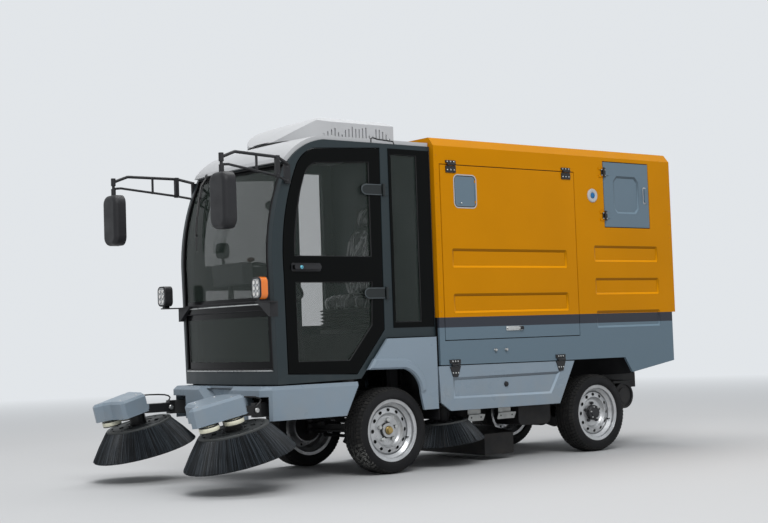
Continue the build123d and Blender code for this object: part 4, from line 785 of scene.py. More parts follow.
def make_filler_cap():
    """Fuel or water filler: a pale ring round a blue cap."""
    centre = at(-1.952, box_half, 1.920)
    ring = [(0.052, 0.0), (0.052, 0.005), (0.047, 0.010), (0.029, 0.011), (0.0225, 0.007), (0.0220, 0.0)]
    Shape().turned(ring, centre, Y, 40).done("filler_ring", "cap_paint")
    cap = Shape().turned([(0.0, 0.015), (0.014, 0.0145), (0.0185, 0.012), (0.0205, 0.004), (0.0210, 0.0)],
                         centre, Y, 40)
    cap.box(centre + Vector((-0.003, 0.012, -0.014)), centre + Vector((0.003, 0.019, 0.014)))
    cap.done("filler_cap", "filler_blue", bevel=0.001)


def dress_service_door():
    for number, z in enumerate((2.100, 1.770)):
        dress_hinge(f"service_hinge_{number}", at(-2.079, hinge_pin_y, z), Z, -X, Y, 0.060, 0.026, 0.023,
                    "service_door", tip=1.15, screws=2)
    seam((-2.588, -2.077, 1.681, 2.188), 0.010, 0.008, 0.010, on_side(1, box_half - 0.020), 0.008,
         "service_door_seal", steps=3)
    Shape().prism(rounded(-2.552, -2.518, 1.872, 2.003, 0.012), on_side(1, box_half), 0.004).done(
        "service_handle_plate", "cap_paint", "service_door", bevel=0.001)


def dress_hatch():
    """A black seal in the gap round the small hatch, a pale frame round it and its lock."""
    seam((-0.7795, -0.5855, 1.7955, 2.0145), 0.030, 0.004, 0.026, on_side(1, box_half - 0.0048), 0.0042,
         "hatch_seal", "side_door_left", steps=6)
    Shape().ring(rounded(-0.789, -0.576, 1.786, 2.024, 0.040, 6),
                 rounded(-0.7805, -0.5845, 1.7945, 2.0155, 0.0315, 6), on_side(1, box_half), 0.0014).done(
        "hatch_frame", "cap_paint", "side_door_left", bevel=0.0004)
    lock = Shape().dome(at(-0.645, box_half + 0.003, 1.823), Y, 0.006, 0.003)
    lock.done("hatch_lock", "bright_trim", "hatch")


# Pressed recesses: shallow sloping ledges inside their edges
def shrink(outline, distance):
    """A convex outline with every edge moved inwards."""
    middle_u, middle_v = (sum(values) / len(outline) for values in zip(*outline))
    lines = []
    for (au, av), (bu, bv) in zip(outline, outline[1:] + outline[:1]):
        length = hypot(bu - au, bv - av)
        nu, nv = (bv - av) / length, (au - bu) / length
        if (middle_u - au) * nu + (middle_v - av) * nv < 0:
            nu, nv = -nu, -nv
        lines.append((nu, nv, au * nu + av * nv + distance))
    points = []
    for (a, b, c), (d, e, f) in zip(lines[-1:] + lines[:-1], lines):
        det = a * e - b * d
        points.append(((c * e - b * f) / det, (a * f - c * d) / det))
    return points


def add_ledge(shape, side, outline, reach, heel, depth=0.0079):
    """A wedge all round a recess, from its rim down to its floor."""
    place, count = on_side(side, box_half), len(outline)
    rows = ((0.0002, 0.0003), (reach, depth), (heel, depth))
    shape.add([place(u, v, -d) for inset, d in rows for u, v in shrink(outline, inset)],
              [face for r in range(3) for face in band_faces(count, r * count, (r + 1) % 3 * count)])


def press_outline(front, rear, low, high, corner=0.012):
    return [(front, low + corner), (front, high - corner), (front - corner, high), (rear + corner, high),
            (rear, high - corner), (rear, low + corner), (rear + corner, low), (front - corner, low)]


def dress_presses():
    for hand, side in SIDES:
        for name, body, front, rear, rows in (
                ("side_door", f"side_door_{hand}", -0.542, -1.660, ((1.370, 1.505), (1.055, 1.192))),
                ("rear", "chassis", -1.949, -2.660, ((1.418, 1.543), (1.170, 1.298), (0.921, 1.051)))):
            ledges = Shape()
            for low, high in rows:
                add_ledge(ledges, side, press_outline(front, rear, low, high), 0.0185, 0.0082)
            ledges.done(f"press_ledges_{name}_{hand}", "ledge_paint", body)
        panel = Shape()
        corners = [(-0.509, 0.614), (-1.546, 0.615), (-1.444, 0.457), (-0.510, 0.470)]
        add_ledge(panel, side, corners, 0.018, 0.0004)
        panel.done(f"panel_ledges_{hand}", "panel_ledge_paint", f"tool_panel_{hand}")
    square = Shape()
    add_ledge(square, 1, press_outline(-2.188, -2.472, 1.790, 2.080, 0.040), 0.016, 0.0082)
    square.done("service_door_ledges", "door_ledge_paint", "service_door")


# Tool panels: tapering strap hinges, a round black lock and a raised edge
def dress_tool_panels():
    corners = [(-0.387, 0.696), (-1.690, 0.686), (-1.525, 0.384), (-0.483, 0.391), (-0.398, 0.450)]
    outline = spread(corners, 0.08)
    for hand, side in SIDES:
        body = f"tool_panel_{hand}"
        for number, x in enumerate((-0.531, -1.547)):
            dress_hinge(f"panel_hinge_{hand}_{number}", at(x, side * hinge_pin_y, 0.702), X, -Z, Y * side,
                        0.098, 0.084, 0.036, body, tip=0.42)
        Shape().turned([(0.0, 0.013), (0.014, 0.012), (0.0175, 0.008), (0.0195, 0.0)],
                       at(-1.007, side * (box_half - 0.008), 0.548), Y * side, 24).done(
            f"panel_lock_{hand}", "black_plastic", body)
        Shape().loop(outline, on_side(side, box_half - 0.0015), 0.0022, 6).done(
            f"panel_edge_{hand}", "pale_paint", body)


# Tail: lamps in three colours, the door's seal, its latch bar and its hinges
def dress_tail():
    rear = -2.800
    lenses = ((0.420, 0.468, "red_lens"), (0.471, 0.519, "orange_lens"), (0.522, 0.570, "lamp_face"))
    for hand, side in SIDES:
        Shape().prism(rounded(0.412, 0.578, 0.752, 0.868, 0.014), on_rear(rear, side), 0.020).done(
            f"tail_lamp_housing_{hand}", "black_plastic", bevel=0.002)
        for number, (start, end, finish) in enumerate(lenses):
            Shape().prism(rounded(start, end, 0.760, 0.860, 0.008), on_rear(rear - 0.030, side), 0.006).done(
                f"tail_lens_{hand}_{number}", finish, bevel=0.002)
    seam((-0.548, 0.548, 1.032, 2.158), 0.010, 0.014, 0.010, on_rear(-2.838), 0.007, "tail_seal")
    latch = Shape().prism(rounded(-0.060, 0.060, 1.070, 1.118, 0.010), on_rear(-2.863), 0.006)
    latch.prism(rounded(-0.045, 0.045, 1.084, 1.104, 0.008), on_rear(-2.869), 0.012)
    latch.done("tail_latch", "black_plastic", "tail_door", bevel=0.002)
    for number, y in enumerate((-0.380, 0.380)):
        dress_hinge(f"tail_hinge_{number}", at(-2.875, y, 2.154), Y, -Z, -X, 0.092, 0.072, 0.042, "tail_door")


# Wheels: tyres with ribs, sipes and shoulder blocks, hubs, nuts and valves
rib_count = 66
groove = 0.0075
tyre_side = [  # radius and distance outwards
    (0.191, 0.0735), (0.205, 0.0775), (0.2095, 0.0885), (0.2125, 0.0930), (0.2185, 0.0945),
    (0.2205, 0.0968), (0.2265, 0.0975), (0.2405, 0.0975), (0.2425, 0.0967), (0.2560, 0.0960),
    (0.2580, 0.0950), (0.2650, 0.0925), (0.2700, 0.0885),
]
tread_rows = [  # inner edge, outer edge, share of the pitch, phase, skew
    (0.0032, 0.0258, 0.90, 0.00, 0.10), (0.0322, 0.0558, 0.88, 0.35, -0.14),
    (0.0622, 0.0905, 0.80, 0.60, 0.06), (-0.0258, -0.0032, 0.90, 0.50, 0.10),
    (-0.0558, -0.0322, 0.88, 0.15, 0.14), (-0.0905, -0.0622, 0.80, 0.90, -0.06),
]


def tread_radius(w):
    """Radius of the tread at a distance from the tyre's middle plane."""
    w = abs(w)
    return 0.288 - 0.0012 * (w / 0.070) ** 2 if w < 0.070 else 0.2868 - 0.0200 * ((w - 0.070) / 0.0245) ** 1.8


def make_tyre(name, centre, side, body):
    half = list(tyre_side)
    for low, high in ((0.0885, 0.0885), (0.056, 0.062), (0.026, 0.032), (-0.003, 0.003)):
        half += [(tread_radius(w) - depth, w + shift) for w, depth, shift in (
            (high, 0.0052, 0.0006), (high, groove, -0.0004), (low, groove, 0.0004), (low, 0.0052, -0.0006))]
    profile = half + [(r, -w) for r, w in reversed(half) if (r, -w) not in half]
    carcass = Shape().turned(profile, centre, Y * side, 96)
    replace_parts(carcass.done(f"tyre_carcass_{name}", "tyre_rubber", body, smooth=30), f"tyre_{name}")
    blocks, lugs = Shape(), Shape()
    pitch = 2 * pi / rib_count

    def block(shape, corners):
        shape.add([centre + Vector((cos(a) * radius, side * w, sin(a) * radius))
                   for radius, a, w in corners], BLOCK)

    for inner, outer, share, phase, skew in tread_rows:
        for k in range(rib_count):
            start = (k + phase) * pitch
            end = start + share * pitch
            block(blocks, [(tread_radius(w) - groove * (1 - lift), turn + shift + taper * lift, w)
                           for lift in (0.0, 1.0) for w, shift in ((inner, 0.0), (outer, skew * pitch))
                           for turn, taper in ((start, 0.03 * pitch), (end, -0.03 * pitch))])
    for sign in (1, -1):
        for k in range(rib_count):
            angle = (k + 0.1) * pitch
            block(lugs, [(radius, turn, sign * (w + out))
                         for radius, w in ((0.2735, 0.0905), (0.2640, 0.0940))
                         for turn in (angle, angle + 0.45 * pitch) for out in (-0.0012, 0.0010)])
    blocks.done(f"tyre_tread_{name}", "tread_rubber", body, smooth=20)
    lugs.done(f"tyre_lugs_{name}", "tread_rubber", body)


def make_hub(name, centre, side, body, front):
    out = Y * side
    nuts, hole_shades, rims, rings = Shape(), Shape(), Shape(), Shape()
    for point in circle(centre + out * 0.0195, X, Z, 0.070, 5, 90):
        nuts.nut(point, out, 0.027 if front else 0.021, 0.023 if front else 0.019)
    for radial in circle(Vector(), X, Z, 1, 12):
        # Hand holes: dark ovals as painted shade in the holes, with a pressed rim
        oval = circle(centre + radial * 0.136 + out * 0.0424, (radial - out * 0.176) * 0.0120,
                      radial.cross(Y) * 0.0152, 1, 24)
        hole_shades.add(oval + [p - out * 0.004 for p in oval],
                  [tuple(range(24)), tuple(range(24, 48)), *band_faces(24, 0, 24)])
        rims.tube(oval, 0.0017, 6, closed=True)
    nuts.done(f"wheel_nuts_{name}", "bright_trim" if front else "dark_steel", body)
    hole_shades.done(f"hand_hole_shades_{name}", "hole_shade", body)
    rims.done(f"hand_hole_rims_{name}", "rim_silver", body)
    if front:
        Shape().turned([(0.0545, 0.019), (0.0540, 0.028), (0.0490, 0.031), (0.0300, 0.030), (0.0, 0.030)],
                       centre, out, 36).done(f"hub_flange_{name}", "black_plastic", body)
        Shape().turned([(0.0285, 0.028), (0.0285, 0.046), (0.0265, 0.050), (0.0235, 0.052), (0.0225, 0.060),
                        (0.0190, 0.065), (0.0, 0.067)], centre, out, 32).done(
            f"hub_cap_{name}", "brass_cap", body)
    else:
        Shape().turned([(0.056, 0.019), (0.055, 0.050), (0.049, 0.056), (0.040, 0.058), (0.036, 0.066),
                        (0.0, 0.068)], centre, out, 36).done(f"hub_cap_{name}", "dark_steel", body)
        studs = Shape()
        for point in circle(centre + out * 0.056, X, Z, 0.044, 6, 12):
            studs.nut(point, out, 0.012, 0.010)
        studs.done(f"hub_studs_{name}", "bright_steel", body)
    root, = circle(centre + out * 0.036, X, Z, 0.158, 1, 200)
    Shape().tube([root, root + out * 0.012, root + out * 0.030], [0.0055, 0.0042, 0.0038], 10).done(
        f"valve_{name}", "black_plastic", body)
    for radius, w in ((0.2065, 0.0808), (0.1858, 0.0545)):
        rings.tube(circle(centre + out * w, X, Z, radius, 64), 0.0022, 6, closed=True)
    rings.done(f"rim_edges_{name}", "rim_silver", body)


def dress_wheels():
    for hand, side in SIDES:
        for end, x in (("front", 0.0), ("rear", -wheelbase)):
            name, centre = f"{end}_{hand}", at(x, side * wheel_y, axle_height)
            make_tyre(name, centre, side, f"wheel_{name}")
            make_hub(name, centre, side, f"wheel_{name}", end == "front")


# Brushes: bristles over the dark skirt, a rim and bolts on the plate
plate_radius, tip_radius, brush_drop = 0.219, 0.346, 0.173
tuft_count = 72


class BrushPlace:
    """A brush's own frame: u forwards in its plane, v outwards to its side, w up its axis."""

    def __init__(self, x, y, z, pitch, side):
        tilt = radians(pitch)
        self.origin = at(x, side * y, z)
        self.forward = Vector((cos(tilt), 0, -sin(tilt)))
        self.outward = Y * side
        self.up = Vector((sin(tilt), 0, cos(tilt)))

    def point(self, u, v, w):
        return self.origin + self.forward * u + self.outward * v + self.up * w

    def polar(self, radius, angle, w):
        return self.point(radius * cos(angle), radius * sin(angle), w)


def make_bristles(name, place, scale, count, seed):
    """Tapered strands in tufts, which fan out from the plate's edge to the tips."""
    strands = Shape()
    dice = random.Random(seed)
    root, tip, drop = plate_radius * scale, tip_radius * scale, brush_drop * scale
    slope = Vector((tip - root, -(drop - 0.007 * scale))).normalized()
    for k in range(count):
        angle = 2 * pi * (k + dice.random()) / count
        tuft = (int(angle / (2 * pi) * tuft_count) + 0.5) * 2 * pi / tuft_count
        start = tuft + (angle - tuft) * 0.80
        end = tuft + (angle - tuft) * 0.62 + dice.gauss(0, 0.011)
        # Rearward strands lie flatter, clear of the bumper
        lift = dice.uniform(-0.001, 0.0085) * (1 - 0.85 * max(0.0, -cos(angle)))
        reach = 0.985 + min(0.02, dice.gauss(0, 0.024))
        width = dice.uniform(0.0011, 0.0019) * scale
        points = []
        for share in (0.0, 0.5, 1.0):
            along = share * reach
            radius = root + (tip - root) * along + lift * -slope.y + 0.004 * sin(pi * share) * scale
            height = -0.004 * scale - (drop - 0.004 * scale) * along + lift * slope.x
            turn = start + (end - start) * share
            centre = place.polar(radius, turn, height)
            side_way = (place.polar(radius, turn + 0.01, height) - centre).normalized()
            out_way = (place.polar(radius + 0.01, turn, height) - centre).normalized()
            size = width * (1.15 - 0.5 * share)
            points += [centre - side_way * size, centre + side_way * size, centre + out_way * size * 1.3]
        strands.add(points, [*band_faces(3, 0, 3), *band_faces(3, 3, 6), (6, 7, 8)])
    data = strands.done(name, "bristle_dark", name.replace("bristles_", "brush_"), smooth=60).data
    for tone in ("bristle_mid", "bristle_light"):
        data.materials.append(finishes[tone].material)
    tones = [dice.choice((0, 0, 1, 1, 2)) for _ in range(count)]
    for face in data.polygons:
        face.material_index = tones[min(count - 1, face.index // 7)]


def dress_brushes():
    top = 0.0077
    for number, (end, (x, y, z, pitch, scale, count)) in enumerate(brush_places.items()):
        for hand, side in SIDES:
            name = f"{end}_{hand}"
            place = BrushPlace(x, y, z, pitch, side)
            make_bristles(f"bristles_{name}", place, scale, count, 40 + 2 * number + side)
            edge = plate_radius * scale
            rim = [(edge + 0.0016, -0.006), (edge + 0.0016, top + 0.001), (edge - 0.001, top + 0.003),
                   (edge - 0.022, top + 0.003), (edge - 0.024, top - 0.001)]
            Shape().turned(rim, place.origin, place.up, 72).done(
                f"brush_rim_{name}", "plate_rim", f"brush_{name}")
            bolts = Shape()
            top_centre = place.point(0, 0, top)
            for radius, bolt_count, phase, across, height in (
                    (plate_radius - 0.034, 12, 7.5, 0.013, 0.006), (0.073, 5, 0.0, 0.014, 0.008)):
                ring = circle(top_centre, place.forward, place.outward, radius * scale, bolt_count, phase)
                for point in ring:
                    bolts.nut(point, place.up, across, height)
            bolts.done(f"brush_bolts_{name}", "dark_steel", f"brush_{name}")


def dress_brush_heads():
    """Cream guard rollers, a bent rod over the fork, pins at the joints, screws and the cover's lip."""
    roller = [(0.0, 0.0485), (0.046, 0.0485), (0.058, 0.0515), (0.0632, 0.0580), (0.0640, 0.069),
              (0.0632, 0.0800), (0.058, 0.0865), (0.046, 0.0895), (0.0, 0.0895)]
    rod = [(1.250, 0.573), (1.190, 0.574), (1.124, 0.572), (1.075, 0.568), (1.046, 0.560), (1.034, 0.548),
           (1.040, 0.534), (1.056, 0.522), (1.070, 0.508)]
    lip = [(0.165, -0.200), (0.190, -0.180), (0.200, -0.060), (0.232, -0.008), (0.282, 0.020), (0.272, 0.058),
           (-0.036, 0.134), (-0.058, 0.112), (-0.052, -0.070), (-0.010, -0.168)]
    for hand, side in SIDES:
        head = f"brush_head_{hand}"
        place = BrushPlace(*brush_places["front"][:4], side)
        rollers, lift_pins, swing_pins, screws = Shape(), Shape(), Shape(), Shape()
        for u, v in ((0.176, 0.028), (0.022, 0.066)):
            rollers.turned(roller, place.point(u, v, 0), place.up, 48)
        for way in (1, -1):
            lift_pins.nut(at(1.070, side * 0.540 + way * 0.0402, 0.485), Y * way, 0.030, 0.011)
            swing_pins.nut(at(0.880, side * 0.470, 0.5453 if way > 0 else 0.4247), Z * way, 0.034, 0.012)
        for u, v in ((0.150, -0.120), (0.020, -0.100), (0.010, 0.080), (0.230, 0.040)):
            screws.dome(place.point(u, v, 0.218), place.up, 0.006)
        rollers.done(f"guard_rollers_{hand}", "cream_roller", head)
        Shape().loop(rod, on_side(side, 0.574), 0.0052, 10, closed=False).done(
            f"head_rod_{hand}", "black_metal", head)
        lift_pins.done(f"lift_pin_{hand}", "bright_steel", head)
        swing_pins.done(f"swing_pin_{hand}", "bright_steel")
        screws.done(f"cover_screws_{hand}", "bright_steel", head)
        Shape().loop(spread(lip, 0.04), lambda u, v, _: place.point(u, v, 0.1012), 0.0028, 6).done(
            f"cover_lip_{hand}", "pale_paint", head)


# Seat: a hard shell, a bellows base and three sewn pads under clear film
seat_pads = {
    # middle (station, height), size forwards, across and up, lean back in degrees,
    # channels (axis, place, width), cap on what the cloth moves
    "seat_cushion": ((-0.098, 1.158), (0.225, 0.455, 0.105), 2.0,
                     ((1, -0.135, 0.008), (1, 0.135, 0.008), (0, -0.03, 0.007)), 0.010),
    "seat_back": ((-0.256, 1.445), (0.520, 0.450, 0.100), -97.0,
                  ((1, -0.145, 0.008), (1, 0.145, 0.008), (0, 0.09, 0.007), (0, -0.08, 0.007)), 0.010),
    "seat_headrest": ((-0.310, 1.770), (0.135, 0.270, 0.085), -110.0, ((0, 0.0, 0.006),), 0.006),
}


def pad_form(size, centre, lean, power=3.4, cells=22):
    """A crowned closed form, whose sides pull in between its corners, leant back about the axis across."""
    turn = Matrix.Rotation(radians(lean), 4, "Y")
    mesh = bmesh.new()
    bmesh.ops.create_cube(mesh, size=2.0)
    bmesh.ops.subdivide_edges(mesh, edges=mesh.edges[:], cuts=cells, use_grid_fill=True)
    for vert in mesh.verts:
        x, y, z = vert.co
        norm = (abs(x) ** power + abs(y) ** power + abs(z) ** power) ** (1 / power)
        x, y, z = x / norm, y / norm, z / norm
        pinch = 1 - 0.035 * (1 - min(1, abs(x) * abs(y) * 2.2))
        vert.co = (x * size[0] / 2 * pinch, y * size[1] / 2 * pinch, z * size[2] / 2)
        vert.co = centre + turn @ vert.co
    return mesh


def evaluated(piece):
    """The piece's mesh with its modifiers, which are taken off."""
    graph = bpy.context.evaluated_depsgraph_get()
    mesh = bpy.data.meshes.new_from_object(piece.evaluated_get(graph))
    piece.modifiers.clear()
    return mesh


def soften(piece, cap, voxel=0.0065, frames=20):
    """Fill the pad with air as cloth, and cap how far any point moves."""
    scene = bpy.context.scene
    bpy.context.view_layer.objects.active = piece
    remesh = piece.modifiers.new("even", "REMESH")
    remesh.mode, remesh.voxel_size = "VOXEL", voxel
    piece.data = evaluated(piece)
    start = [vert.co.copy() for vert in piece.data.vertices]
    cloth = piece.modifiers.new("air", "CLOTH")
    cloth.settings.use_pressure = True
    cloth.settings.uniform_pressure_force = 4.0
    cloth.settings.effector_weights.gravity = 0.0
    cloth.settings.quality = 4
    cloth.collision_settings.use_collision = False
    scene.frame_start, scene.frame_end = 1, frames
    for frame_number in range(1, frames + 1):
        scene.frame_set(frame_number)
    piece.data = evaluated(piece)
    for vert, before in zip(piece.data.vertices, start):
        move = vert.co - before
        if move.length > cap:
            vert.co = before + move.normalized() * cap
    scene.frame_set(1)


def sew(piece, centre, lean, channels, rim_radius=0.02, depth=0.011):
    """Press sewn channels into the top."""
    turn = Matrix.Rotation(radians(-lean), 4, "Y")
    down = turn.inverted() @ Z
    for vert in piece.data.vertices:
        local = turn @ (vert.co - centre)
        press = sum(depth * 2.718 ** (-((local[axis] - place) / width) ** 2)
                    for axis, place, width in channels)
        if local.z > 0:
            vert.co -= down * press * min(1, local.z / rim_radius)


def make_pads():
    for name, ((x, z), size, lean, channels, cap) in seat_pads.items():
        centre = at(x, 0, z)
        pad = new_piece(name, pad_form(size, centre, lean))
        soften(pad, cap)
        sew(pad, centre, lean, channels)
        pad.data.materials.clear()
        pad.data.materials.append(finishes["seat_film"].material)
        pad.data.shade_smooth()
        finer = pad.modifiers.new("finer", "SUBSURF")
        finer.levels = finer.render_levels = 1
        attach(pad, "chassis")
        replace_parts(pad, "seat")


def make_seat():
    make_pads()
    profile = [(0.020, 1.112), (0.016, 1.100), (-0.325, 1.118), (-0.348, 1.835), (-0.330, 1.846),
               (-0.312, 1.700), (-0.298, 1.200), (-0.270, 1.140), (-0.200, 1.122)]
    shell = Shape().prism(profile, across_from(-0.205), 0.410)
    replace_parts(shell.done("seat_shell", "black_plastic", bevel=0.006), "seat")
    rails = Shape()
    for y in (-0.16, 0.16):
        rails.box(at(-0.325, y - 0.014, 1.092), at(0.012, y + 0.014, 1.104))
    rails.done("seat_rails", "dark_steel", bevel=0.0015)
    rows = 11
    points = []
    for k in range(rows):
        grow = 0.014 if k % 2 else -0.010
        outline = rounded(-0.325 - grow, 0.025 + grow, -0.195 - grow, 0.195 + grow, 0.045)
        points += [at(u, v, 0.972 + 0.122 * k / (rows - 1)) for u, v in outline]
    n = len(outline)
    bellows = Shape().add(points, [tuple(range(n)), tuple(range((rows - 1) * n, rows * n)), *(
        face for r in range(rows - 1) for face in band_faces(n, r * n, (r + 1) * n))])
    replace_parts(bellows.done("seat_bellows", "tyre_rubber", bevel=0.0025, smooth=70), "seat_base")
    foot = Shape().prism(rounded(-0.330, 0.030, -0.200, 0.200, 0.012),
                         lambda u, v, d: at(u, v, 0.9455 + d), 0.028)
    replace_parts(foot.done("seat_foot", "black_metal", bevel=0.002), "seat_base")


# Driver's place: padded dashboard top, dials, a pale console, pedals and the wheel's boss
def make_driver_place():
    pad = [(0.852, 1.094), (0.852, 1.104), (0.760, 1.112), (0.690, 1.098), (0.612, 1.022), (0.618, 1.008),
           (0.700, 1.081)]
    hood = [(0.740, 1.105), (0.655, 1.070), (0.618, 1.150), (0.634, 1.186), (0.700, 1.182), (0.742, 1.150)]
    console = [(0.690, 1.300), (0.770, 1.292), (0.782, 1.425), (0.758, 1.445), (0.694, 1.438)]
    Shape().prism(pad, across_from(-0.428), 0.856).done("dashboard_pad", "seat_vinyl", bevel=0.004)
    Shape().prism(hood, across_from(-0.150), 0.300).done("dial_hood", "black_plastic", bevel=0.006)
    dials = Shape()
    for y, r in ((-0.075, 0.038), (0.035, 0.038), (0.110, 0.018)):
        dials.turned([(0.0, 0.0025), (r * 0.9, 0.0025), (r * 0.94, 0.005), (r, 0.004), (r, -0.004)],
                     at(0.6355, y, 1.112), (-0.92, 0, 0.39), 28)
    dials.done("dials", "dial_face")
    Shape().prism(console, across_from(-0.405), 0.395).done("console", "cap_paint", bevel=0.010, segments=3)
    Shape().prism(rounded(-0.180, -0.035, 1.325, 1.400, 0.010), on_rear(0.6895), 0.003).done(
        "console_panel", "black_plastic", bevel=0.001)
    post = ((0.745, 1.080), (0.742, 1.200), (0.738, 1.310))
    stalk = Shape().tube([at(x, -0.22, z) for x, z in post], 0.019, 14)
    stalk.turned([(0.040, 0.0), (0.040, 0.010), (0.022, 0.024)], at(0.745, -0.22, 1.098), Z, 24)
    stalk.tube([at(0.745, -0.295, 1.435), at(0.750, -0.300, 1.500)], 0.010, 10)
    stalk.done("console_stalk", "black_metal")
    Shape().prism(rounded(-0.350, -0.245, 1.485, 1.590, 0.030), on_front(0.725), 0.052).done(
        "small_fan", "black_plastic", bevel=0.008, segments=3)
    grille, centre = Shape(), at(0.722, -0.2975, 1.5375)
    for radius in (0.012, 0.022, 0.032, 0.042):
        grille.tube(circle(centre, Y, Z, radius, 28), 0.0016, 5, closed=True)
    for spoke in circle(Vector(), Y, Z, 0.044, 12)[:6]:
        grille.tube([centre - spoke, centre + spoke], 0.0014, 5)
    grille.done("small_fan_grille", "dark_steel")
    knob = Shape().turned([(0.0, 0.030), (0.018, 0.028), (0.026, 0.018), (0.026, 0.006), (0.014, 0.0)],
                          at(0.720, 0.010, 1.443), Z, 24)
    knob.tube([at(0.720, -0.020, 1.430), at(0.720, 0.010, 1.447)], 0.007).done("console_knob", "knob_brown")


def make_pedals():
    pedals, treads = Shape(), Shape()
    lean = Vector((0.55, 0, 0.83)).normalized()
    out = lean.cross(Y)
    for y in (-0.115, 0.010):
        foot = at(0.542, y, 0.760)

        def place(u, v, d):
            return foot + Y * u + lean * v + out * d

        pedals.prism(centred(0, 0, 0.034, 0.050, 0.010), place, 0.008)
        pedals.tube([at(0.548, y, 0.765), at(0.585, y, 0.800), at(0.592, y, 0.870)], 0.008)
        for k in range(5):
            treads.prism(centred(0, -0.036 + 0.018 * k, 0.030, 0.004, 0.0015, 2),
                         lambda u, v, d: place(u, v, d - 0.0035), 0.004)
    pedals.done("pedals", "black_metal", bevel=0.0015)
    treads.done("pedal_treads", "tyre_rubber")


def make_wheel_boss():
    hub = at(0.520, 0, 1.310)
    axis = (hub - at(0.720, 0, 1.040)).normalized()
    Shape().turned([(0.0, 0.030), (0.030, 0.028), (0.043, 0.020), (0.046, 0.008), (0.040, 0.000)], hub, axis,
                   36).done("wheel_boss", "black_plastic", "steering_wheel")
    stems, column = Shape(), hub - axis * 0.075
    for way in (1, -1):
        bend = column + Vector((0.0, way * 0.075, 0.012))
        end = column + Vector((0.01, way * 0.150, 0.035))
        stems.tube([column, bend, end], [0.0065, 0.0055, 0.0075], 10)
    stems.done("column_stalks", "black_plastic")
    cover = [(0.030, -0.190), (0.040, -0.180), (0.042, -0.060), (0.034, -0.048), (0.029, -0.048)]
    Shape().turned(cover, hub, axis, 32).done("column_cover", "black_plastic")


# Under the body: silver angle plates on a bar, and pipes
def dress_underbody():
    for hand, side in SIDES:
        Shape().box(at(-1.230, side * 0.455, 0.384), at(-0.690, side * 0.485, 0.4035)).done(
            f"plate_bar_{hand}", "dark_steel", bevel=0.0015)
        plates, hole_shades = Shape(), Shape()
        for start, end in ((-1.183, -0.999), (-0.885, -0.720)):
            plates.prism([(start + 0.020, 0.297), (end - 0.006, 0.297), (end, 0.303), (end - 0.014, 0.342),
                          (start + 0.004, 0.342), (start, 0.336)], on_side(side, 0.498), 0.004)
            low_x, high_x = (start + end) / 2 - 0.060, (start + end) / 2 + 0.060
            plates.box(at(low_x, side * 0.478, 0.3400), at(high_x, side * 0.502, 0.3440))
            plates.box(at(low_x, side * 0.476, 0.3400), at(high_x, side * 0.480, 0.3860))
            # Painted shade: dark discs where the plates have holes
            for x in (start + 0.040, end - 0.036):
                hole_shades.turned([(0.0, 0.0006), (0.0065, 0.0006), (0.0065, 0.0)], at(x, side * 0.502, 0.322),
                             Y * side, 16)
        plates.done(f"angle_plates_{hand}", "galvanised", bevel=0.001)
        hole_shades.done(f"angle_plate_hole_shades_{hand}", "black_plastic")
    pipes = Shape()
    run = ((0.70, 0.030), (0.30, 0.030), (-0.30, 0.0), (-1.10, 0.0), (-1.75, 0.004), (-2.60, 0.030))
    for y, z in ((0.150, 0.430), (-0.150, 0.430), (0.185, 0.418)):
        pipes.tube([at(x, y, z + dz) for x, dz in run], 0.007)
    pipes.done("under_pipes", "black_metal")


# Black sheets as painted shade inside the body and under the cab's foot, a black sheet behind each front
# wheel, and a grey lining on the cab's rear wall
def make_black_sheets_and_lining():
    foot_top = 0.648
    for hand, side in SIDES:
        # Painted shade: a black sheet inside the body over the wheels, and one under the cab's foot
        sheets = Shape().box(at(-2.755, side * 0.2262, 0.5505), at(-0.410, side * 0.2285, 0.9145))
        sheets.box(at(-0.384, side * 0.400, 0.336), at(-0.3765, side * 0.600, 0.520))
        sheets.box(at(0.372, side * 0.520, 0.590), at(0.880, side * 0.524, foot_top))
        sheets.done(f"black_sheets_{hand}", "arch_black", bevel=0.0008)
    # Painted shade: black sheets under the cab's foot and front
    front = Shape().box(at(0.372, -0.572, 0.606), at(0.850, 0.572, 0.610))
    front.box(at(0.850, -0.500, 0.606), at(0.985, 0.500, 0.610))
    front.box(at(0.876, -0.520, 0.590), at(0.880, 0.520, foot_top))
    front.done("shade_sheets_front", "arch_black", bevel=0.0008)
    Shape().prism(rounded(-0.500, 0.500, 0.985, 2.120, 0.040), on_front(-0.3645), 0.006).done(
        "rear_wall_lining", "wall_lining", bevel=0.002)


# Stage, light and camera
BACKDROP = (0.80, 0.83, 0.86, 1)
backdrop_level = 0.95
ambient_level = 0.50


def make_stage(size=60.0, fade_from=5.0, fade_to=16.0):
    """A pale floor, which fades into the backdrop far from the object."""
    mesh = bpy.data.meshes.new("floor")
    mesh.from_pydata([(x, y, 0) for x, y in rectangle(-size, size, -size, size)], [], [(0, 1, 2, 3)])
    pale = Finish("floor_pale", (0.60, 0.605, 0.61), 0.9, gloss=0.1)
    split = pale.node("SeparateXYZ", pale.point())
    squares = [pale.math("MULTIPLY", split.outputs[axis], split.outputs[axis]) for axis in ("X", "Y")]
    distance = pale.math("SQRT", pale.math("ADD", *squares))
    backdrop = pale.node("Emission", BACKDROP, backdrop_level)
    fade = pale.node("MixShader", pale.ramp(distance, fade_from, fade_to), pale.shader.outputs[0],
                     backdrop.outputs[0])
    pale.feed(pale.tree.nodes["Material Output"].inputs["Surface"], fade.outputs[0])
    mesh.materials.append(pale.material)
    linked(bpy.data.objects.new("floor", mesh))


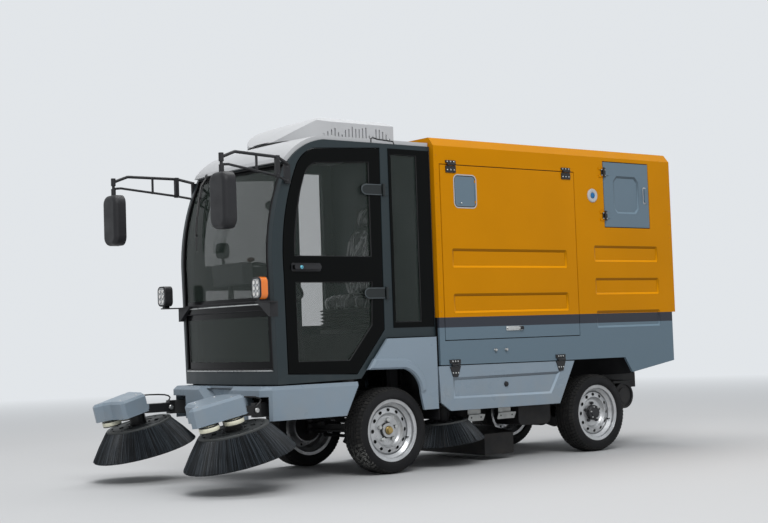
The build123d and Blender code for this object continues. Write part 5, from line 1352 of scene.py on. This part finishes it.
def make_light(name, location, size, power):
    """A soft lamp, which points at the middle of the object."""
    lamp = bpy.data.lights.new(name, "AREA")
    lamp.shape, lamp.energy = "RECTANGLE", power
    lamp.size, lamp.size_y = size
    holder = linked(bpy.data.objects.new(name, lamp))
    holder.location = location
    holder.rotation_mode = "QUATERNION"
    holder.rotation_quaternion = (Z - Vector(location)).to_track_quat("-Z", "Y")


def make_world():
    """The backdrop for what the camera sees, also in gloss and glass, and dimmer light for the rest."""
    world = bpy.context.scene.world = bpy.data.worlds.new("studio")
    world.use_nodes = True
    sky = Nodes(world.node_tree)
    rays = sky.node("LightPath").outputs
    seen = sky.math("MAXIMUM", sky.math("MAXIMUM", rays["Is Camera Ray"], rays["Is Glossy Ray"]),
                    rays["Is Transmission Ray"])
    background = sky.tree.nodes["Background"].inputs
    sky.feed(background["Color"], BACKDROP)
    sky.feed(background["Strength"], sky.ramp(seen, 0.0, 1.0, ambient_level, backdrop_level))


def make_camera():
    """The camera stands low in front of the left side, and looks slightly up."""
    azimuth, pitch, roll = radians(-127.81), radians(3.05), radians(-1.978)
    look = Vector((cos(azimuth) * cos(pitch), sin(azimuth) * cos(pitch), sin(pitch)))
    level_right = Vector((sin(azimuth), -cos(azimuth), 0))
    level_up = level_right.cross(look)
    right = cos(roll) * level_right + sin(roll) * level_up
    up = cos(roll) * level_up - sin(roll) * level_right
    data = bpy.data.cameras.new("camera")
    data.sensor_width, data.lens, data.clip_end = 36.0, 65.2, 200.0
    place = Matrix((right, up, -look)).transposed().to_4x4()
    place.translation = at(5.713, 7.898, 0.919)
    camera = bpy.context.scene.camera = linked(bpy.data.objects.new("camera", data))
    camera.matrix_world = place


make_stage()
make_world()
make_light("key", (4.0, 8.0, 9.0), (7.0, 5.0), 640)
make_light("top", (-1.0, -2.0, 10.0), (7.0, 6.0), 560)
make_camera()
bpy.context.scene.view_settings.view_transform = "Standard"

# The pieces
for make in (make_cab_front, make_wiper, dress_cab_doors, make_quarter_windows, dress_headlamps,
             dress_mirrors, dress_roof, dress_box, make_filler_cap, dress_service_door, dress_hatch,
             dress_presses, dress_tool_panels, dress_tail, dress_wheels, dress_brushes, dress_brush_heads,
             make_seat, make_driver_place, make_pedals, make_wheel_boss, dress_underbody, make_black_sheets_and_lining,
             make_roof_rod):
    make()
